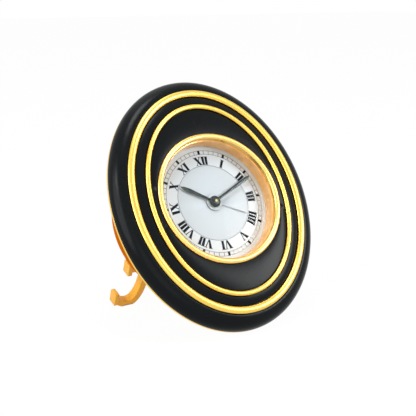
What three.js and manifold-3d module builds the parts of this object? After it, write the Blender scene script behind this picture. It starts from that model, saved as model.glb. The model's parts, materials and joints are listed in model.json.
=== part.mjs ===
// A mechanical alarm clock on a folding stand, in millimetres, +Z up.
// The clock is modelled in its dial frame: X to the right, Y up the dial, Z out of the dial, with the
// crests of the front rings at Z = 0 and the hand axis at X = Y = 0. The whole clock then leans back.

import * as THREE from 'three';
import { mergeVertices } from 'three/addons/utils/BufferGeometryUtils.js';
import Module from 'manifold-3d';

const wasm = await Module();
wasm.setup();

// How the clock stands
const leanDegrees = 31.6;
const legOpenDegrees = 50;

// Clearances
const seatGap = 0.1;
const runGap = 0.05;
const weldDistance = 0.0001;
const cutOverrun = 1;
const weldOverlap = 0.2;

// Front frame, with half its width and height, and the places of its two oval rings between the bezel
// and the frame's edge, across and up
const frameHalfWidth = 37.3;
const frameHalfHeight = 44.5;
const rimDepth = 6.2;
const frameWall = 1.6;
const fieldDepth = 0.9;
const grooveDepth = 0.8;
const outerRingShares = [0.654, 0.772];
const outerRingBand = 2.5;
const outerRingCrestDepth = 0.7;
const innerRingShares = [0.245, 0.509];
const innerRingBand = 1.72;
const ringRise = 0.85;

// Bezel, crystal, reflector and dial
const bezelRadius = 23;
const bezelBand = 2;
const bezelOverhang = 1.1;
const bezelNeckDepth = 2;
const crystalEdge = 0.8;
const crystalDome = 0.7;
const ledgeWidth = 0.3;
const reflectorFoot = 1.5;
const dialDepth = 6.1;
const dialThickness = 0.5;
const dialEdgeCover = 1.4;
const dialFootRadius = 0.5;
const dialFootInset = 0.9;
const dialFootDegrees = [60, 240];

// Back plate, case body and cover
const backPlateThickness = 0.9;
const collarThickness = 1.3;
const canClearance = 3.3;
const canWall = 1.2;
const backSpace = 5.3;
const canEdgeRound = 2.4;
const canShoulder = 0.6;
const coverThickness = 1.1;
const coverLedge = 1.3;
const coverRim = 2.8;
const coverScrewRadius = 0.5;
const coverScrewHeadRadius = 0.95;
const coverScrewHeadHeight = 0.5;
const coverScrewLength = 1.9;
const coverScrewInset = 0.6;

// Movement plates
const motionSpace = 3;
const plateThickness = 1.4;
const pillarHeight = 9.2;
const pillarRadius = 1.1;
const spigotRadius = 0.6;
const pillarInset = 1.9;
const plateSlack = 0.2;

// Arbors and their pivots
const arborRadius = 0.5;
const pivotRadius = 0.32;
const pivotShoulder = 0.15;
const windingArborRadius = 1.1;
const settingArborRadius = 0.6;
const pipeRadius = 0.45;
const pipeWall = 0.3;

// Wheels and pinions: tooth counts and modules
const barrelTeeth = 36;
const centrePinionLeaves = 9;
const barrelModule = 0.54;
const centreTeeth = 48;
const thirdPinionLeaves = 6;
const centreModule = 0.33;
const thirdTeeth = 48;
const fourthPinionLeaves = 6;
const thirdModule = 0.3;
const fourthTeeth = 45;
const escapePinionLeaves = 6;
const fourthModule = 0.3;
const escapeTeeth = 15;
const cannonLeaves = 8;
const minuteTeeth = 24;
const cannonModule = 0.575;
const minutePinionLeaves = 8;
const hourTeeth = 32;
const hourModule = 0.46;
const alarmBarrelTeeth = 30;
const strikePinionLeaves = 6;
const alarmBarrelModule = 0.48;
const ratchetTeeth = 16;
const wheelThickness = 0.45;
const pinionLength = 1.3;
const spokeCount = 3;
const spokeWidth = 0.9;
const wheelHubRadius = 0.9;
const rimModules = 2;

// Places of the arbors: the angle of each step along the train
const barrelAngle = 135;
const thirdAngle = -40;
const fourthAngle = -120;
const escapeAngle = 185;
const palletAngle = 165;
const balanceAngle = 140;
const minuteAngle = 215;
const handSetterAngle = 150;
const alarmSetterAngle = 15;
const alarmBarrelX = 11;
const alarmBarrelY = 12;
const strikeAngle = 165;
const hammerAngle = 120;

// Levels inside the movement, counted back from the front plate's inner face
const barrelLevel = 0.5;
const fourthWheelLevel = 1;
const thirdWheelLevel = 3;
const centreWheelLevel = 5.7;
const balanceLevel = 6.9;
const hairspringLevel = 8.2;
const alarmGearLevel = 3.9;

// Barrels and mainsprings
const barrelFloor = 1.2;
const barrelHeight = 4.6;
const barrelWall = 0.6;
const barrelBore = 1.16;
const barrelToothBase = 0.45;
const springThickness = 0.35;
const springHeight = 2.4;
const springCoreRadius = 1.9;
const springCoreGap = 0.45;

// Ratchet wheels and their clicks, behind the rear plate
const ratchetRadius = 4;
const ratchetThickness = 0.9;
const clickLength = 2.2;
const clickBossRadius = 1;
const barrelClickDegrees = 250;
const alarmClickDegrees = 290;

// Motion work
const motionGearThickness = 0.5;
const motionGap = 0.15;
const alarmWheelLift = 0.5;
const motionHubRadius = 2.4;
const motionSpokeWidth = 1.35;
const releaseSpringRoot = 10.4;
const releaseSpringTip = 4.6;
const releaseSpringWidth = 1.8;
const releaseSpringThickness = 0.22;
const releaseSpringDegrees = 60;

// Escapement
const escapeRadius = 4;
const palletDistance = 4.6;
const balanceDistance = 6.3;
const rollerRadius = 1.2;
const palletClearance = 0.15;
const balanceRadius = 5.5;
const balanceRim = 0.8;
const balanceThickness = 0.8;
const balanceHubRadius = 1.5;
const balanceBossRadius = 1;
const balanceBossHeight = 0.9;
const colletRadius = 1;
const hairspringRadius = 3.6;
const hairspringThickness = 0.12;
const hairspringHeight = 0.5;

// Alarm work
const strikeRadius = 4.6;
const hammerDistance = 6.3;
const gongInset = 3.6;
const gongWire = 0.6;
const gongDepth = 2.4;
const gongBlockSize = 2.4;
const hammerHeadRadius = 1.2;
const hammerHeadLength = 2.4;
const hammerReach = 8.5;
const hammerArmWidth = 2;
const hammerArmThickness = 0.9;
const vergeHalf = 2.5;
const vergeReach = 1.3;
const vergeShoulder = 0.8;

// Hands
const hourHandInset = 7.2;
const minuteHandInset = 2.8;
const alarmHandInset = 7.75;
const hourHandWidth = 1.5;
const minuteHandWidth = 1.3;
const alarmHandWidth = 0.35;
const hourHandDegrees = 302;
const minuteHandDegrees = 67;
const alarmHandDegrees = 116;
const handThickness = 0.2;
const handSpacing = 0.5;
const hubRadius = 2;
const hourHubRadius = 1.9;
const hubHeight = 0.6;
const alarmBossRadius = 3.2;

// Keys, knobs, button and regulator on the back
const keyWingLength = 5;
const keyWingHeight = 4.6;
const keyWingThickness = 1.2;
const keyBossRadius = 1.7;
const keyBossHeight = 1.6;
const backStandoff = 0.4;
const knobRadius = 3;
const knobHeight = 2.4;
const knobChamfer = 0.3;
const buttonRadius = 1.8;
const buttonStemRadius = 0.9;
const buttonTravel = 1.6;
const buttonReach = 0.8;
const buttonCollar = 0.6;
const buttonChamfer = 0.4;
const buttonX = -5;
const buttonY = 17.6;
const regulatorLength = 6.5;
const regulatorDegrees = 265;
const regulatorTravelDegrees = 16;
const regulatorTipRadius = 0.5;
const regulatorRingRadius = 1.7;
const regulatorArmWidth = 1;

// Stand
const hingeDrop = 9.5;
const hingeStandoff = 2.7;
const hingePinRadius = 0.6;
const bracketWidth = 12;
const bracketHeight = 6.4;
const bracketBase = 0.7;
const earThickness = 1.4;
const earRadius = 1.25;
const legBar = 2.4;
const legDepth = 3.4;
const crossBarDrop = 2.6;
const crossBarSpan = 24.3;
const blockWidth = 1.6;
const blockHeight = 4.5;
const blockDepth = 3.9;
const footSpan = 28.1;
const footLift = 3.5;

// Shapes of the repeated forms, as shares and counts
const sides = 32;
const hiddenSides = 20;
const drumSides = 16;
const wireSides = 6;
const arborSides = 6;
const borderSides = 8;
const knobFlutes = 12;
const addendumShare = 0.9;
const dedendumShare = 1.15;
const pointedDedendumShare = 1.45;
const toothBaseShare = 0.6;
const leafTipShare = 0.14;
const ratchetDepthShare = 0.2;
const fluteShare = 0.92;
const webShare = 0.8;

const toRadians = THREE.MathUtils.degToRad;
const fullTurn = 2 * Math.PI;

// Materials
const lacquer = { color: 0x202325, roughness: 0.25, metalness: 0.1 };
const gilt = { color: 0xe8bd55, roughness: 0.22, metalness: 1 };
const warmGilt = { color: 0xe0a04a, roughness: 0.3, metalness: 1 };
const brass = { color: 0xc9a55a, roughness: 0.35, metalness: 1 };
const steel = { color: 0x9a9da0, roughness: 0.3, metalness: 1 };
const blueSteel = { color: 0x3b4468, roughness: 0.3, metalness: 1 };
const handPaint = { color: 0x3a4242, roughness: 0.4, metalness: 0.3 };
const dialPaint = { color: 0xe6edf0, roughness: 0.5, metalness: 0 };
const glass = { color: 0xffffff, roughness: 0.02, metalness: 0, transparent: true, opacity: 0.2 };

// Geometry helpers

// One welded, outward facing, closed mesh that holds positions only
function closed(geometry) {
  const bare = new THREE.BufferGeometry();
  bare.setAttribute('position', geometry.getAttribute('position').clone());
  if (geometry.index) {
    bare.setIndex(geometry.index.clone());
  }
  const welded = mergeVertices(bare, weldDistance);
  const corners = welded.index.array;
  const kept = [];
  for (let i = 0; i < corners.length; i += 3) {
    const [a, b, c] = [corners[i], corners[i + 1], corners[i + 2]];
    if (a !== b && b !== c && c !== a) {
      kept.push(a, b, c);
    }
  }
  if (signedVolume(welded.getAttribute('position'), kept) < 0) {
    kept.reverse();
  }
  welded.setIndex(kept);
  return welded;
}

function signedVolume(position, corners) {
  const [a, b, c] = [new THREE.Vector3(), new THREE.Vector3(), new THREE.Vector3()];
  let sum = 0;
  for (let i = 0; i < corners.length; i += 3) {
    a.fromBufferAttribute(position, corners[i]);
    b.fromBufferAttribute(position, corners[i + 1]);
    c.fromBufferAttribute(position, corners[i + 2]);
    sum += a.dot(b.cross(c));
  }
  return sum;
}

function solid(geometry) {
  const welded = closed(geometry);
  return new wasm.Manifold(new wasm.Mesh({
    numProp: 3,
    vertProperties: new Float32Array(welded.getAttribute('position').array),
    triVerts: new Uint32Array(welded.index.array),
  }));
}

function geometryOf(body) {
  const mesh = body.getMesh();
  const geometry = new THREE.BufferGeometry();
  geometry.setAttribute('position', new THREE.BufferAttribute(mesh.vertProperties, mesh.numProp));
  geometry.setIndex(new THREE.BufferAttribute(mesh.triVerts, 1));
  return geometry;
}

function join(...geometries) {
  return geometryOf(geometries.map(solid).reduce((whole, next) => whole.add(next)));
}

function cut(geometry, ...tools) {
  return geometryOf(tools.map(solid).reduce((whole, next) => whole.subtract(next), solid(geometry)));
}

function polar(radius, angle) {
  return new THREE.Vector2(radius * Math.cos(angle), radius * Math.sin(angle));
}

// A point that lies a distance away from another, at an angle in degrees
function away(from, distance, angleInDegrees) {
  return polar(distance, toRadians(angleInDegrees)).add(from);
}

function circlePoints(radius, count, centre = new THREE.Vector2(), start = 0) {
  return Array.from({ length: count }, (_, i) => polar(radius, start + fullTurn * i / count).add(centre));
}

// The radius of a bore's corners, whose flats clear a shaft
function boreRadius(shaftRadius, count, clearance = runGap) {
  return (shaftRadius + clearance) / Math.cos(Math.PI / count);
}

// A flat outline with holes, from a lower to an upper level
function slab(outline, holes, bottom, top) {
  const shape = new THREE.Shape(outline);
  shape.holes = holes.map((hole) => new THREE.Path(hole));
  return new THREE.ExtrudeGeometry(shape, { depth: top - bottom, bevelEnabled: false })
    .translate(0, 0, bottom);
}

// A turned part about Z from [radius, height] points, whose first corners lie on +X
function turned(profile, count, closedProfile = true) {
  const points = profile.map(([radius, height]) => new THREE.Vector2(radius, height));
  if (closedProfile) {
    points.push(points[0].clone());
  }
  return new THREE.LatheGeometry(points, count).rotateX(Math.PI / 2).rotateZ(Math.PI / 2);
}

function rod(radius, bottom, top, count = arborSides) {
  return turned([[0, bottom], [radius, bottom], [radius, top], [0, top]], count, false);
}

// A round plate with a running bore for each [shaft radius, place, number of sides]
function drilledDisc(radius, count, bottom, top, bores) {
  const tools = bores.map(([shaft, place, boreSides = arborSides]) =>
    rod(boreRadius(shaft, boreSides), bottom - cutOverrun, top + cutOverrun, boreSides)
      .translate(place.x, place.y, 0));
  return cut(slab(circlePoints(radius, count), [], bottom, top), ...tools);
}

// A closed section of [half width, half height, level] points, swept round an oval
function ovalSweep(section, count) {
  const positions = [];
  const corners = [];
  const rows = section.length;
  for (let i = 0; i < count; i += 1) {
    const angle = fullTurn * i / count;
    for (const [halfWidth, halfHeight, level] of section) {
      positions.push(halfWidth * Math.cos(angle), halfHeight * Math.sin(angle), level);
    }
  }
  for (let i = 0; i < count; i += 1) {
    for (let j = 0; j < rows; j += 1) {
      const a = i * rows + j;
      const b = i * rows + (j + 1) % rows;
      const c = ((i + 1) % count) * rows + (j + 1) % rows;
      const d = ((i + 1) % count) * rows + j;
      corners.push(a, b, c, a, c, d);
    }
  }
  const geometry = new THREE.BufferGeometry();
  geometry.setAttribute('position', new THREE.Float32BufferAttribute(positions, 3));
  geometry.setIndex(corners);
  return geometry;
}

// The outline of a fine-toothed wheel with pointed teeth
function toothOutline(teeth, module, phase = 0) {
  const pitchRadius = teeth * module / 2;
  const root = pitchRadius - pointedDedendumShare * module;
  const tip = pitchRadius + addendumShare * module;
  const pitch = fullTurn / teeth;
  const points = [];
  for (let i = 0; i < teeth; i += 1) {
    const angle = phase + pitch * i;
    points.push(polar(tip, angle));
    points.push(polar(root, angle + pitch / 2));
  }
  return points;
}

// The outline of a pinion, whose few leaves have narrow flat tips
function leafOutline(leaves, module, phase) {
  const pitchRadius = leaves * module / 2;
  const root = pitchRadius - dedendumShare * module;
  const tip = pitchRadius + addendumShare * module;
  const pitch = fullTurn / leaves;
  const points = [];
  for (let i = 0; i < leaves; i += 1) {
    const angle = phase + pitch * i;
    points.push(polar(root, angle - pitch * toothBaseShare / 2));
    points.push(polar(tip, angle - pitch * leafTipShare / 2));
    points.push(polar(tip, angle + pitch * leafTipShare / 2));
    points.push(polar(root, angle + pitch * toothBaseShare / 2));
  }
  return points;
}

// The outline of a ratchet wheel, whose teeth lean the way the handedness says
function ratchetOutline(teeth, radius, handedness) {
  const root = radius * (1 - ratchetDepthShare);
  const pitch = fullTurn / teeth;
  const undercutShare = 0.12;
  const points = [];
  for (let i = 0; i < teeth; i += 1) {
    points.push(polar(radius, handedness * pitch * i));
    points.push(polar(root, handedness * pitch * (i + undercutShare)));
  }
  return handedness > 0 ? points : points.reverse();
}

// The phase that meshes a second wheel with a first one
function meshPhase(from, fromTeeth, fromPhase, to, toTeeth) {
  const line = Math.atan2(to.y - from.y, to.x - from.x);
  const share = (line - fromPhase) / (fullTurn / fromTeeth);
  return line + Math.PI - fullTurn / toTeeth * (0.5 - share);
}

// The windows between the spokes of a wheel
function crossings(count, innerRadius, outerRadius, spokeWidth) {
  const arcSteps = 2;
  return Array.from({ length: count }, (_, i) => {
    const middle = fullTurn * i / count;
    const half = Math.PI / count;
    const outerHalf = half - Math.asin(spokeWidth / 2 / outerRadius);
    const innerHalf = half - Math.asin(spokeWidth / 2 / innerRadius);
    const outer = Array.from({ length: arcSteps + 1 }, (__, k) =>
      polar(outerRadius, middle + outerHalf * (2 * k / arcSteps - 1)));
    return [polar(innerRadius, middle + innerHalf), polar(innerRadius, middle - innerHalf), ...outer];
  });
}

// A flat spiral band that winds outwards, as a spring's section seen from above
function spiralOutline(innerRadius, outerRadius, turns, thickness, stepsPerTurn) {
  const steps = turns * stepsPerTurn;
  const line = Array.from({ length: steps + 1 }, (_, i) => ({
    angle: fullTurn * i / stepsPerTurn,
    radius: innerRadius + (outerRadius - innerRadius) * i / steps,
  }));
  const outside = line.map(({ angle, radius }) => polar(radius + thickness / 2, angle));
  const inside = line.map(({ angle, radius }) => polar(radius - thickness / 2, angle));
  return [...outside, ...inside.reverse()];
}

// Half sizes of the rings' outer edges
const outerRingHalfWidth = bezelRadius + (frameHalfWidth - bezelRadius) * outerRingShares[0];
const outerRingHalfHeight = bezelRadius + (frameHalfHeight - bezelRadius) * outerRingShares[1];
const innerRingHalfWidth = bezelRadius + (frameHalfWidth - bezelRadius) * innerRingShares[0];
const innerRingHalfHeight = bezelRadius + (frameHalfHeight - bezelRadius) * innerRingShares[1];

// Levels, from the front to the back
const frameHole = bezelRadius - bezelOverhang + seatGap;
const dialWindowRadius = bezelRadius - bezelOverhang - reflectorFoot;
const dialFootOffset = dialWindowRadius - dialFootInset;
const outerFieldDepth = outerRingCrestDepth + ringRise;
const dialFace = -dialDepth;
const dialBack = dialFace - dialThickness;
const frontPlateFace = dialBack - motionSpace;
const frontPlateBack = frontPlateFace - plateThickness;
const rearPlateFace = frontPlateBack - pillarHeight;
const rearPlateBack = rearPlateFace - plateThickness;
const backPlateFace = -rimDepth - seatGap;
const backPlateBack = backPlateFace - backPlateThickness;
const alarmBarrelReach = Math.hypot(alarmBarrelX, alarmBarrelY)
  + alarmBarrelModule * (alarmBarrelTeeth / 2 + addendumShare);
const canRearInnerRadius = alarmBarrelReach + canClearance;
const canInnerRadius = canRearInnerRadius + canShoulder;
const canRadius = canInnerRadius + canWall;
const gongRadius = canRearInnerRadius - gongInset;
const coverFace = rearPlateBack - backSpace;
const coverBack = coverFace - coverThickness;
const coverRadius = canRadius - coverRim;
const hingeLevel = coverBack - hingeStandoff;
const frontPlateRadius = canInnerRadius - plateSlack;
const rearPlateRadius = canRearInnerRadius - plateSlack;

// Places of the arbors
const centre = new THREE.Vector2();
const barrelPlace = away(centre, barrelModule * (barrelTeeth + centrePinionLeaves) / 2, barrelAngle);
const thirdPlace = away(centre, centreModule * (centreTeeth + thirdPinionLeaves) / 2, thirdAngle);
const fourthPlace = away(thirdPlace, thirdModule * (thirdTeeth + fourthPinionLeaves) / 2, fourthAngle);
const escapePlace = away(fourthPlace, fourthModule * (fourthTeeth + escapePinionLeaves) / 2, escapeAngle);
const palletPlace = away(escapePlace, palletDistance, palletAngle);
const balancePlace = away(palletPlace, balanceDistance, balanceAngle);
const minutePlace = away(centre, cannonModule * (cannonLeaves + minuteTeeth) / 2, minuteAngle);
const handSetterPlace = away(minutePlace, cannonModule * (minuteTeeth + cannonLeaves) / 2, handSetterAngle);
const alarmSetterPlace = away(centre, hourModule * (hourTeeth + minutePinionLeaves) / 2, alarmSetterAngle);
const alarmBarrelPlace = new THREE.Vector2(alarmBarrelX, alarmBarrelY);
const strikePlace = away(alarmBarrelPlace, alarmBarrelModule * (alarmBarrelTeeth + strikePinionLeaves) / 2,
  strikeAngle);
const hammerPlace = away(strikePlace, hammerDistance, hammerAngle);
const clickDistance = ratchetRadius + clickLength + palletClearance;
const buttonPlace = new THREE.Vector2(buttonX, buttonY);
const trainPlaces = [thirdPlace, fourthPlace, escapePlace, palletPlace, balancePlace, strikePlace];
const pillarDegrees = [92, 190, 290, 10];
const pillarPlaces = pillarDegrees.map((angle) => away(centre, rearPlateRadius - pillarInset, angle));
const coverScrewDegrees = [45, 135, 225, 315];
const coverScrewOffset = coverRadius - coverScrewInset;
const coverScrewPlaces = coverScrewDegrees.map((angle) => away(centre, coverScrewOffset, angle));
const dialFootPlaces = dialFootDegrees.map((angle) => away(centre, dialFootOffset, angle));

const clock = new THREE.Group();

function piece(name, geometry, finish, place = centre, parent = clock) {
  const shown = closed(geometry).toNonIndexed();
  shown.computeVertexNormals();
  const mesh = new THREE.Mesh(shown, new THREE.MeshStandardMaterial(finish));
  mesh.name = name;
  mesh.position.set(place.x, place.y, 0);
  parent.add(mesh);
  return mesh;
}

// Case

// The black shell: a flat field, a groove for each ring, and a quarter-round roll down to the rim
function frontFrame() {
  const rollShares = [1, 0.8, 0.6, 0.4, 0.2, 0].map((share) => share * Math.PI / 2);
  const roll = rollShares.map((angle) => [
    outerRingHalfWidth + (frameHalfWidth - outerRingHalfWidth) * Math.cos(angle),
    outerRingHalfHeight + (frameHalfHeight - outerRingHalfHeight) * Math.cos(angle),
    (rimDepth - outerFieldDepth) * Math.sin(angle) - rimDepth,
  ]);
  const collar = frameHole + frameWall;
  const innerRoll = [
    outerRingHalfWidth + frameWall,
    outerRingHalfHeight + frameWall,
    -outerFieldDepth - grooveDepth - frameWall,
  ];
  const section = [
    [frameHole, frameHole, -fieldDepth],
    ...groove(innerRingHalfWidth, innerRingHalfHeight, innerRingBand, fieldDepth),
    ...groove(outerRingHalfWidth, outerRingHalfHeight, outerRingBand, outerFieldDepth),
    ...roll.slice(1),
    [frameHalfWidth - frameWall, frameHalfHeight - frameWall, -rimDepth],
    innerRoll,
    [collar, collar, -fieldDepth - grooveDepth - frameWall],
    [collar, collar, -rimDepth],
    [frameHole, frameHole, -rimDepth],
  ];
  return ovalSweep(section, sides);
}

// The four corners of a ring's groove, from its inner edge to its outer edge
function groove(halfWidth, halfHeight, band, depth) {
  const inner = [halfWidth - band - seatGap, halfHeight - band - seatGap];
  const outer = [halfWidth + seatGap, halfHeight + seatGap];
  return [
    [...inner, -depth],
    [...inner, -depth - grooveDepth],
    [...outer, -depth - grooveDepth],
    [...outer, -depth],
  ];
}

// A half-round ring that sits in its groove
function ovalRing(halfWidth, halfHeight, band, crestDepth) {
  const foot = -crestDepth - ringRise - grooveDepth + seatGap;
  const crownShares = [0, 0.25, 0.5, 0.75, 1];
  const crown = crownShares.map((share) => {
    const inset = band * (1 - Math.cos(share * Math.PI)) / 2;
    const level = -crestDepth - ringRise + ringRise * Math.sin(share * Math.PI);
    return [halfWidth - inset, halfHeight - inset, level];
  });
  return ovalSweep([
    ...crown,
    [halfWidth - band, halfHeight - band, foot],
    [halfWidth, halfHeight, foot],
  ], sides);
}

function bezel() {
  const inner = bezelRadius - bezelBand;
  const neck = bezelRadius - bezelOverhang;
  const seat = -fieldDepth + seatGap;
  const crownShares = [0, 0.2, 0.5, 0.8, 1];
  const crown = crownShares.map((share) => [
    inner + bezelBand * (1 - Math.cos(share * Math.PI)) / 2,
    seat * (1 - Math.sin(share * Math.PI)),
  ]);
  return turned([[inner, -bezelNeckDepth], ...crown, [neck, seat], [neck, -bezelNeckDepth]], sides);
}

function crystal() {
  const radius = bezelRadius - bezelBand - seatGap;
  const foot = -bezelNeckDepth;
  const shoulder = foot + crystalEdge;
  const domeShares = [0.6];
  const dome = domeShares.map((share) => [radius * share, shoulder + crystalDome * (1 - share * share)]);
  return turned([[0, foot], [radius, foot], [radius, shoulder], ...dome, [0, shoulder + crystalDome]],
    sides, false);
}

function reflectorRing() {
  const top = -bezelNeckDepth - seatGap;
  const bottom = dialFace + seatGap;
  const outer = bezelRadius - bezelOverhang;
  const ledge = bezelRadius - bezelBand - ledgeWidth;
  return turned([[dialWindowRadius, bottom], [ledge, top], [outer, top], [outer, bottom]], sides);
}

function dial() {
  const radius = dialWindowRadius + dialEdgeCover;
  const hole = boreRadius(alarmPipeOuter(), borderSides);
  const outline = circlePoints(radius, hiddenSides);
  const plate = slab(outline, [circlePoints(hole, borderSides)], dialBack, dialFace);
  const feet = dialFootPlaces.map((place) =>
    rod(dialFootRadius, frontPlateFace - plateThickness / 2, dialBack).translate(place.x, place.y, 0));
  return join(plate, ...feet);
}

// The gilt oval plate that closes the frame, with the collar that the case body slides on
function backPlate() {
  const outer = canInnerRadius - seatGap;
  const inner = outer - collarThickness;
  const collarEnd = frontPlateFace + seatGap;
  const hole = dialWindowRadius + dialEdgeCover + ledgeWidth;
  return ovalSweep([
    [hole, hole, backPlateFace],
    [frameHalfWidth, frameHalfHeight, backPlateFace],
    [frameHalfWidth, frameHalfHeight, backPlateBack],
    [outer, outer, backPlateBack],
    [outer, outer, collarEnd],
    [inner, inner, collarEnd],
    [inner, inner, backPlateBack],
    [hole, hole, backPlateBack],
  ], sides);
}

function rearCan() {
  const front = backPlateBack - seatGap;
  const shoulder = frontPlateBack - seatGap;
  const ledge = coverFace + seatGap;
  const mouth = coverRadius + seatGap;
  const roundShares = [0, 0.33, 0.67, 1];
  const round = roundShares.map((share) => [
    canRadius - canEdgeRound * (1 - Math.cos(share * Math.PI / 2)),
    coverBack + canEdgeRound * (1 - Math.sin(share * Math.PI / 2)),
  ]);
  const body = turned([
    [canInnerRadius, front],
    [canRadius, front],
    ...round,
    [mouth, coverBack],
    [mouth, ledge],
    [mouth - coverLedge, ledge],
    [mouth - coverLedge, ledge + canWall],
    [canRearInnerRadius, ledge + canWall],
    [canRearInnerRadius, shoulder],
    [canInnerRadius, shoulder],
  ], sides);
  const holes = coverScrewPlaces.map((place) =>
    rod(boreRadius(coverScrewRadius, arborSides), ledge - cutOverrun, ledge + canWall + cutOverrun)
      .translate(place.x, place.y, 0));
  return cut(body, ...holes);
}

function rearCover() {
  const slot = slab(regulatorSlot(), [], coverBack - cutOverrun, coverFace + cutOverrun);
  return cut(drilledDisc(coverRadius, sides, coverBack, coverFace, [
    ...coverScrewPlaces.map((place) => [coverScrewRadius, place]),
    [windingArborRadius, barrelPlace, borderSides],
    [windingArborRadius, alarmBarrelPlace, borderSides],
    [settingArborRadius, handSetterPlace],
    [settingArborRadius, alarmSetterPlace],
    [buttonStemRadius, buttonPlace, borderSides],
  ]), slot);
}

// The curved slot for the regulator's tip, round the balance's axis
function regulatorSlot() {
  const reach = toRadians(regulatorTravelDegrees) + (regulatorTipRadius + 2 * seatGap) / regulatorLength;
  const half = regulatorTipRadius + 2 * seatGap;
  const slotShares = [-1, -0.5, 0, 0.5, 1];
  const angles = slotShares.map((share) => toRadians(regulatorDegrees) + reach * share);
  const outer = angles.map((angle) => polar(regulatorLength + half, angle).add(balancePlace));
  const inner = angles.map((angle) => polar(regulatorLength - half, angle).add(balancePlace));
  return [...outer, ...inner.reverse()];
}

function coverScrew() {
  const head = coverBack - seatGap;
  return turned([
    [0, head + coverScrewLength],
    [coverScrewRadius, head + coverScrewLength],
    [coverScrewRadius, head],
    [coverScrewHeadRadius, head],
    [coverScrewHeadRadius, head - coverScrewHeadHeight],
    [0, head - coverScrewHeadHeight],
  ], arborSides, false);
}

// Stand
// A base plate with two round ears for the hinge pin
function standBracket() {
  const base = coverBack - seatGap;
  const halfWidth = bracketWidth / 2;
  const plate = new THREE.BoxGeometry(bracketWidth, bracketHeight, bracketBase)
    .translate(0, -hingeDrop, base - bracketBase / 2);
  const ears = [-1, 1].map((side) => {
    const rise = hingeLevel - base;
    const arcShares = [0, 0.25, 0.5, 0.75, 1];
    const arc = arcShares.map((share) => polar(earRadius, Math.PI + share * Math.PI));
    const outline = [new THREE.Vector2(earRadius, -rise - bracketBase / 2),
      new THREE.Vector2(-earRadius, -rise - bracketBase / 2), ...arc];
    const bore = circlePoints(boreRadius(hingePinRadius, borderSides), borderSides);
    return slab(outline, [bore], 0, earThickness)
      .rotateY(Math.PI / 2)
      .rotateX(Math.PI / 2)
      .translate(side > 0 ? halfWidth - earThickness : -halfWidth, -hingeDrop, hingeLevel);
  });
  return join(plate, ...ears);
}

function standHingePin() {
  const half = bracketWidth / 2 + seatGap;
  return rod(hingePinRadius, -half, half, borderSides)
    .rotateY(Math.PI / 2)
    .translate(0, -hingeDrop, hingeLevel);
}

// The ground lies as far below the hand axis as the back plate's lowest edge reaches
const lean = toRadians(leanDegrees);
const legOpen = toRadians(legOpenDegrees);
const groundDrop = frameHalfHeight * Math.cos(lean) - backPlateBack * Math.sin(lean);
const hingeHeight = groundDrop - hingeDrop * Math.cos(lean) + hingeLevel * Math.sin(lean);
const legReach = hingeHeight / Math.cos(legOpen - lean) - legDepth / 2 * Math.tan(legOpen - lean);

clock.rotation.x = Math.PI / 2 - lean;
clock.updateMatrix();

const leg = new THREE.Group();
leg.position.set(0, -hingeDrop, hingeLevel);
leg.rotation.x = legOpen;
leg.updateMatrix();
clock.add(leg);

// A trestle of flat bar: a knuckle, a cross bar with square ends, and two flared legs. Each leg stands
// on its lowest bend, which the ground cuts flat, and ends in a square block.
function standLeg() {
  const knuckleHalf = bracketWidth / 2 - earThickness - seatGap;
  const limbShares = [[0.63, 0], [0.612, 0.607], [0.73, 1.25], [0.985, 0.82]];
  const [start, pullStart, pullEnd, end] = limbShares.map(([across, down]) =>
    new THREE.Vector2(footSpan * across, -crossBarDrop - (legReach - crossBarDrop) * down));
  const line = new THREE.CubicBezierCurve(start, pullStart, pullEnd, end);
  const lineSteps = 10;
  const limb = (side) => {
    const edge = (offset) => line.getPoints(lineSteps).map((point, i) => {
      const along = line.getTangent(i / lineSteps);
      return new THREE.Vector2(side * (point.x - along.y * offset), point.y + along.x * offset);
    });
    return slab([...edge(legBar / 2), ...edge(-legBar / 2).reverse()], [], -legDepth / 2, legDepth / 2);
  };
  const crossBar = new THREE.BoxGeometry(2 * crossBarSpan, legBar, legDepth).translate(0, -crossBarDrop, 0);
  const crossEnd = (side) => new THREE.BoxGeometry(blockWidth, blockHeight, blockDepth)
    .translate(side * crossBarSpan, -crossBarDrop, 0);
  const foot = (side) => new THREE.BoxGeometry(blockWidth, blockHeight, blockDepth)
    .translate(side * footSpan, -legReach + footLift, 0);
  const knuckle = rod(earRadius, -knuckleHalf, knuckleHalf, borderSides).rotateY(Math.PI / 2);
  const web = new THREE.BoxGeometry(2 * knuckleHalf, crossBarDrop, 2 * earRadius * webShare)
    .translate(0, -crossBarDrop / 2, 0);
  const bore = rod(boreRadius(hingePinRadius, borderSides), -bracketWidth, bracketWidth, borderSides)
    .rotateY(Math.PI / 2);
  const sidePieces = [1, -1].flatMap((side) => [limb(side), crossEnd(side), foot(side)]);
  const whole = join(knuckle, web, crossBar, ...sidePieces);
  const groundSize = footSpan * 4;
  const groundBlock = new THREE.BoxGeometry(groundSize, groundSize, groundSize)
    .translate(0, 0, -groundDrop - groundSize / 2);
  const toLeg = new THREE.Matrix4().multiplyMatrices(clock.matrix, leg.matrix).invert();
  return cut(whole, bore, groundBlock.applyMatrix4(toLeg));
}

// Movement

// A shaft with a thinner pivot at each end
function arbor(radius, back, front) {
  return turned([
    [0, back - plateThickness / 2],
    [pivotRadius, back - plateThickness / 2],
    [pivotRadius, back + pivotShoulder],
    [radius, back + pivotShoulder],
    [radius, front - pivotShoulder],
    [pivotRadius, front - pivotShoulder],
    [pivotRadius, front + plateThickness / 2],
    [0, front + plateThickness / 2],
  ], arborSides, false);
}

// A crossed wheel from a level towards the back, with a hole inside the arbor that it is fixed to
function wheel(outline, rimInner, level) {
  const windows = crossings(spokeCount, wheelHubRadius, rimInner, spokeWidth);
  const hole = circlePoints(arborRadius / 2, arborSides);
  return slab(outline, [hole, ...windows], level - wheelThickness, level);
}

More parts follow.
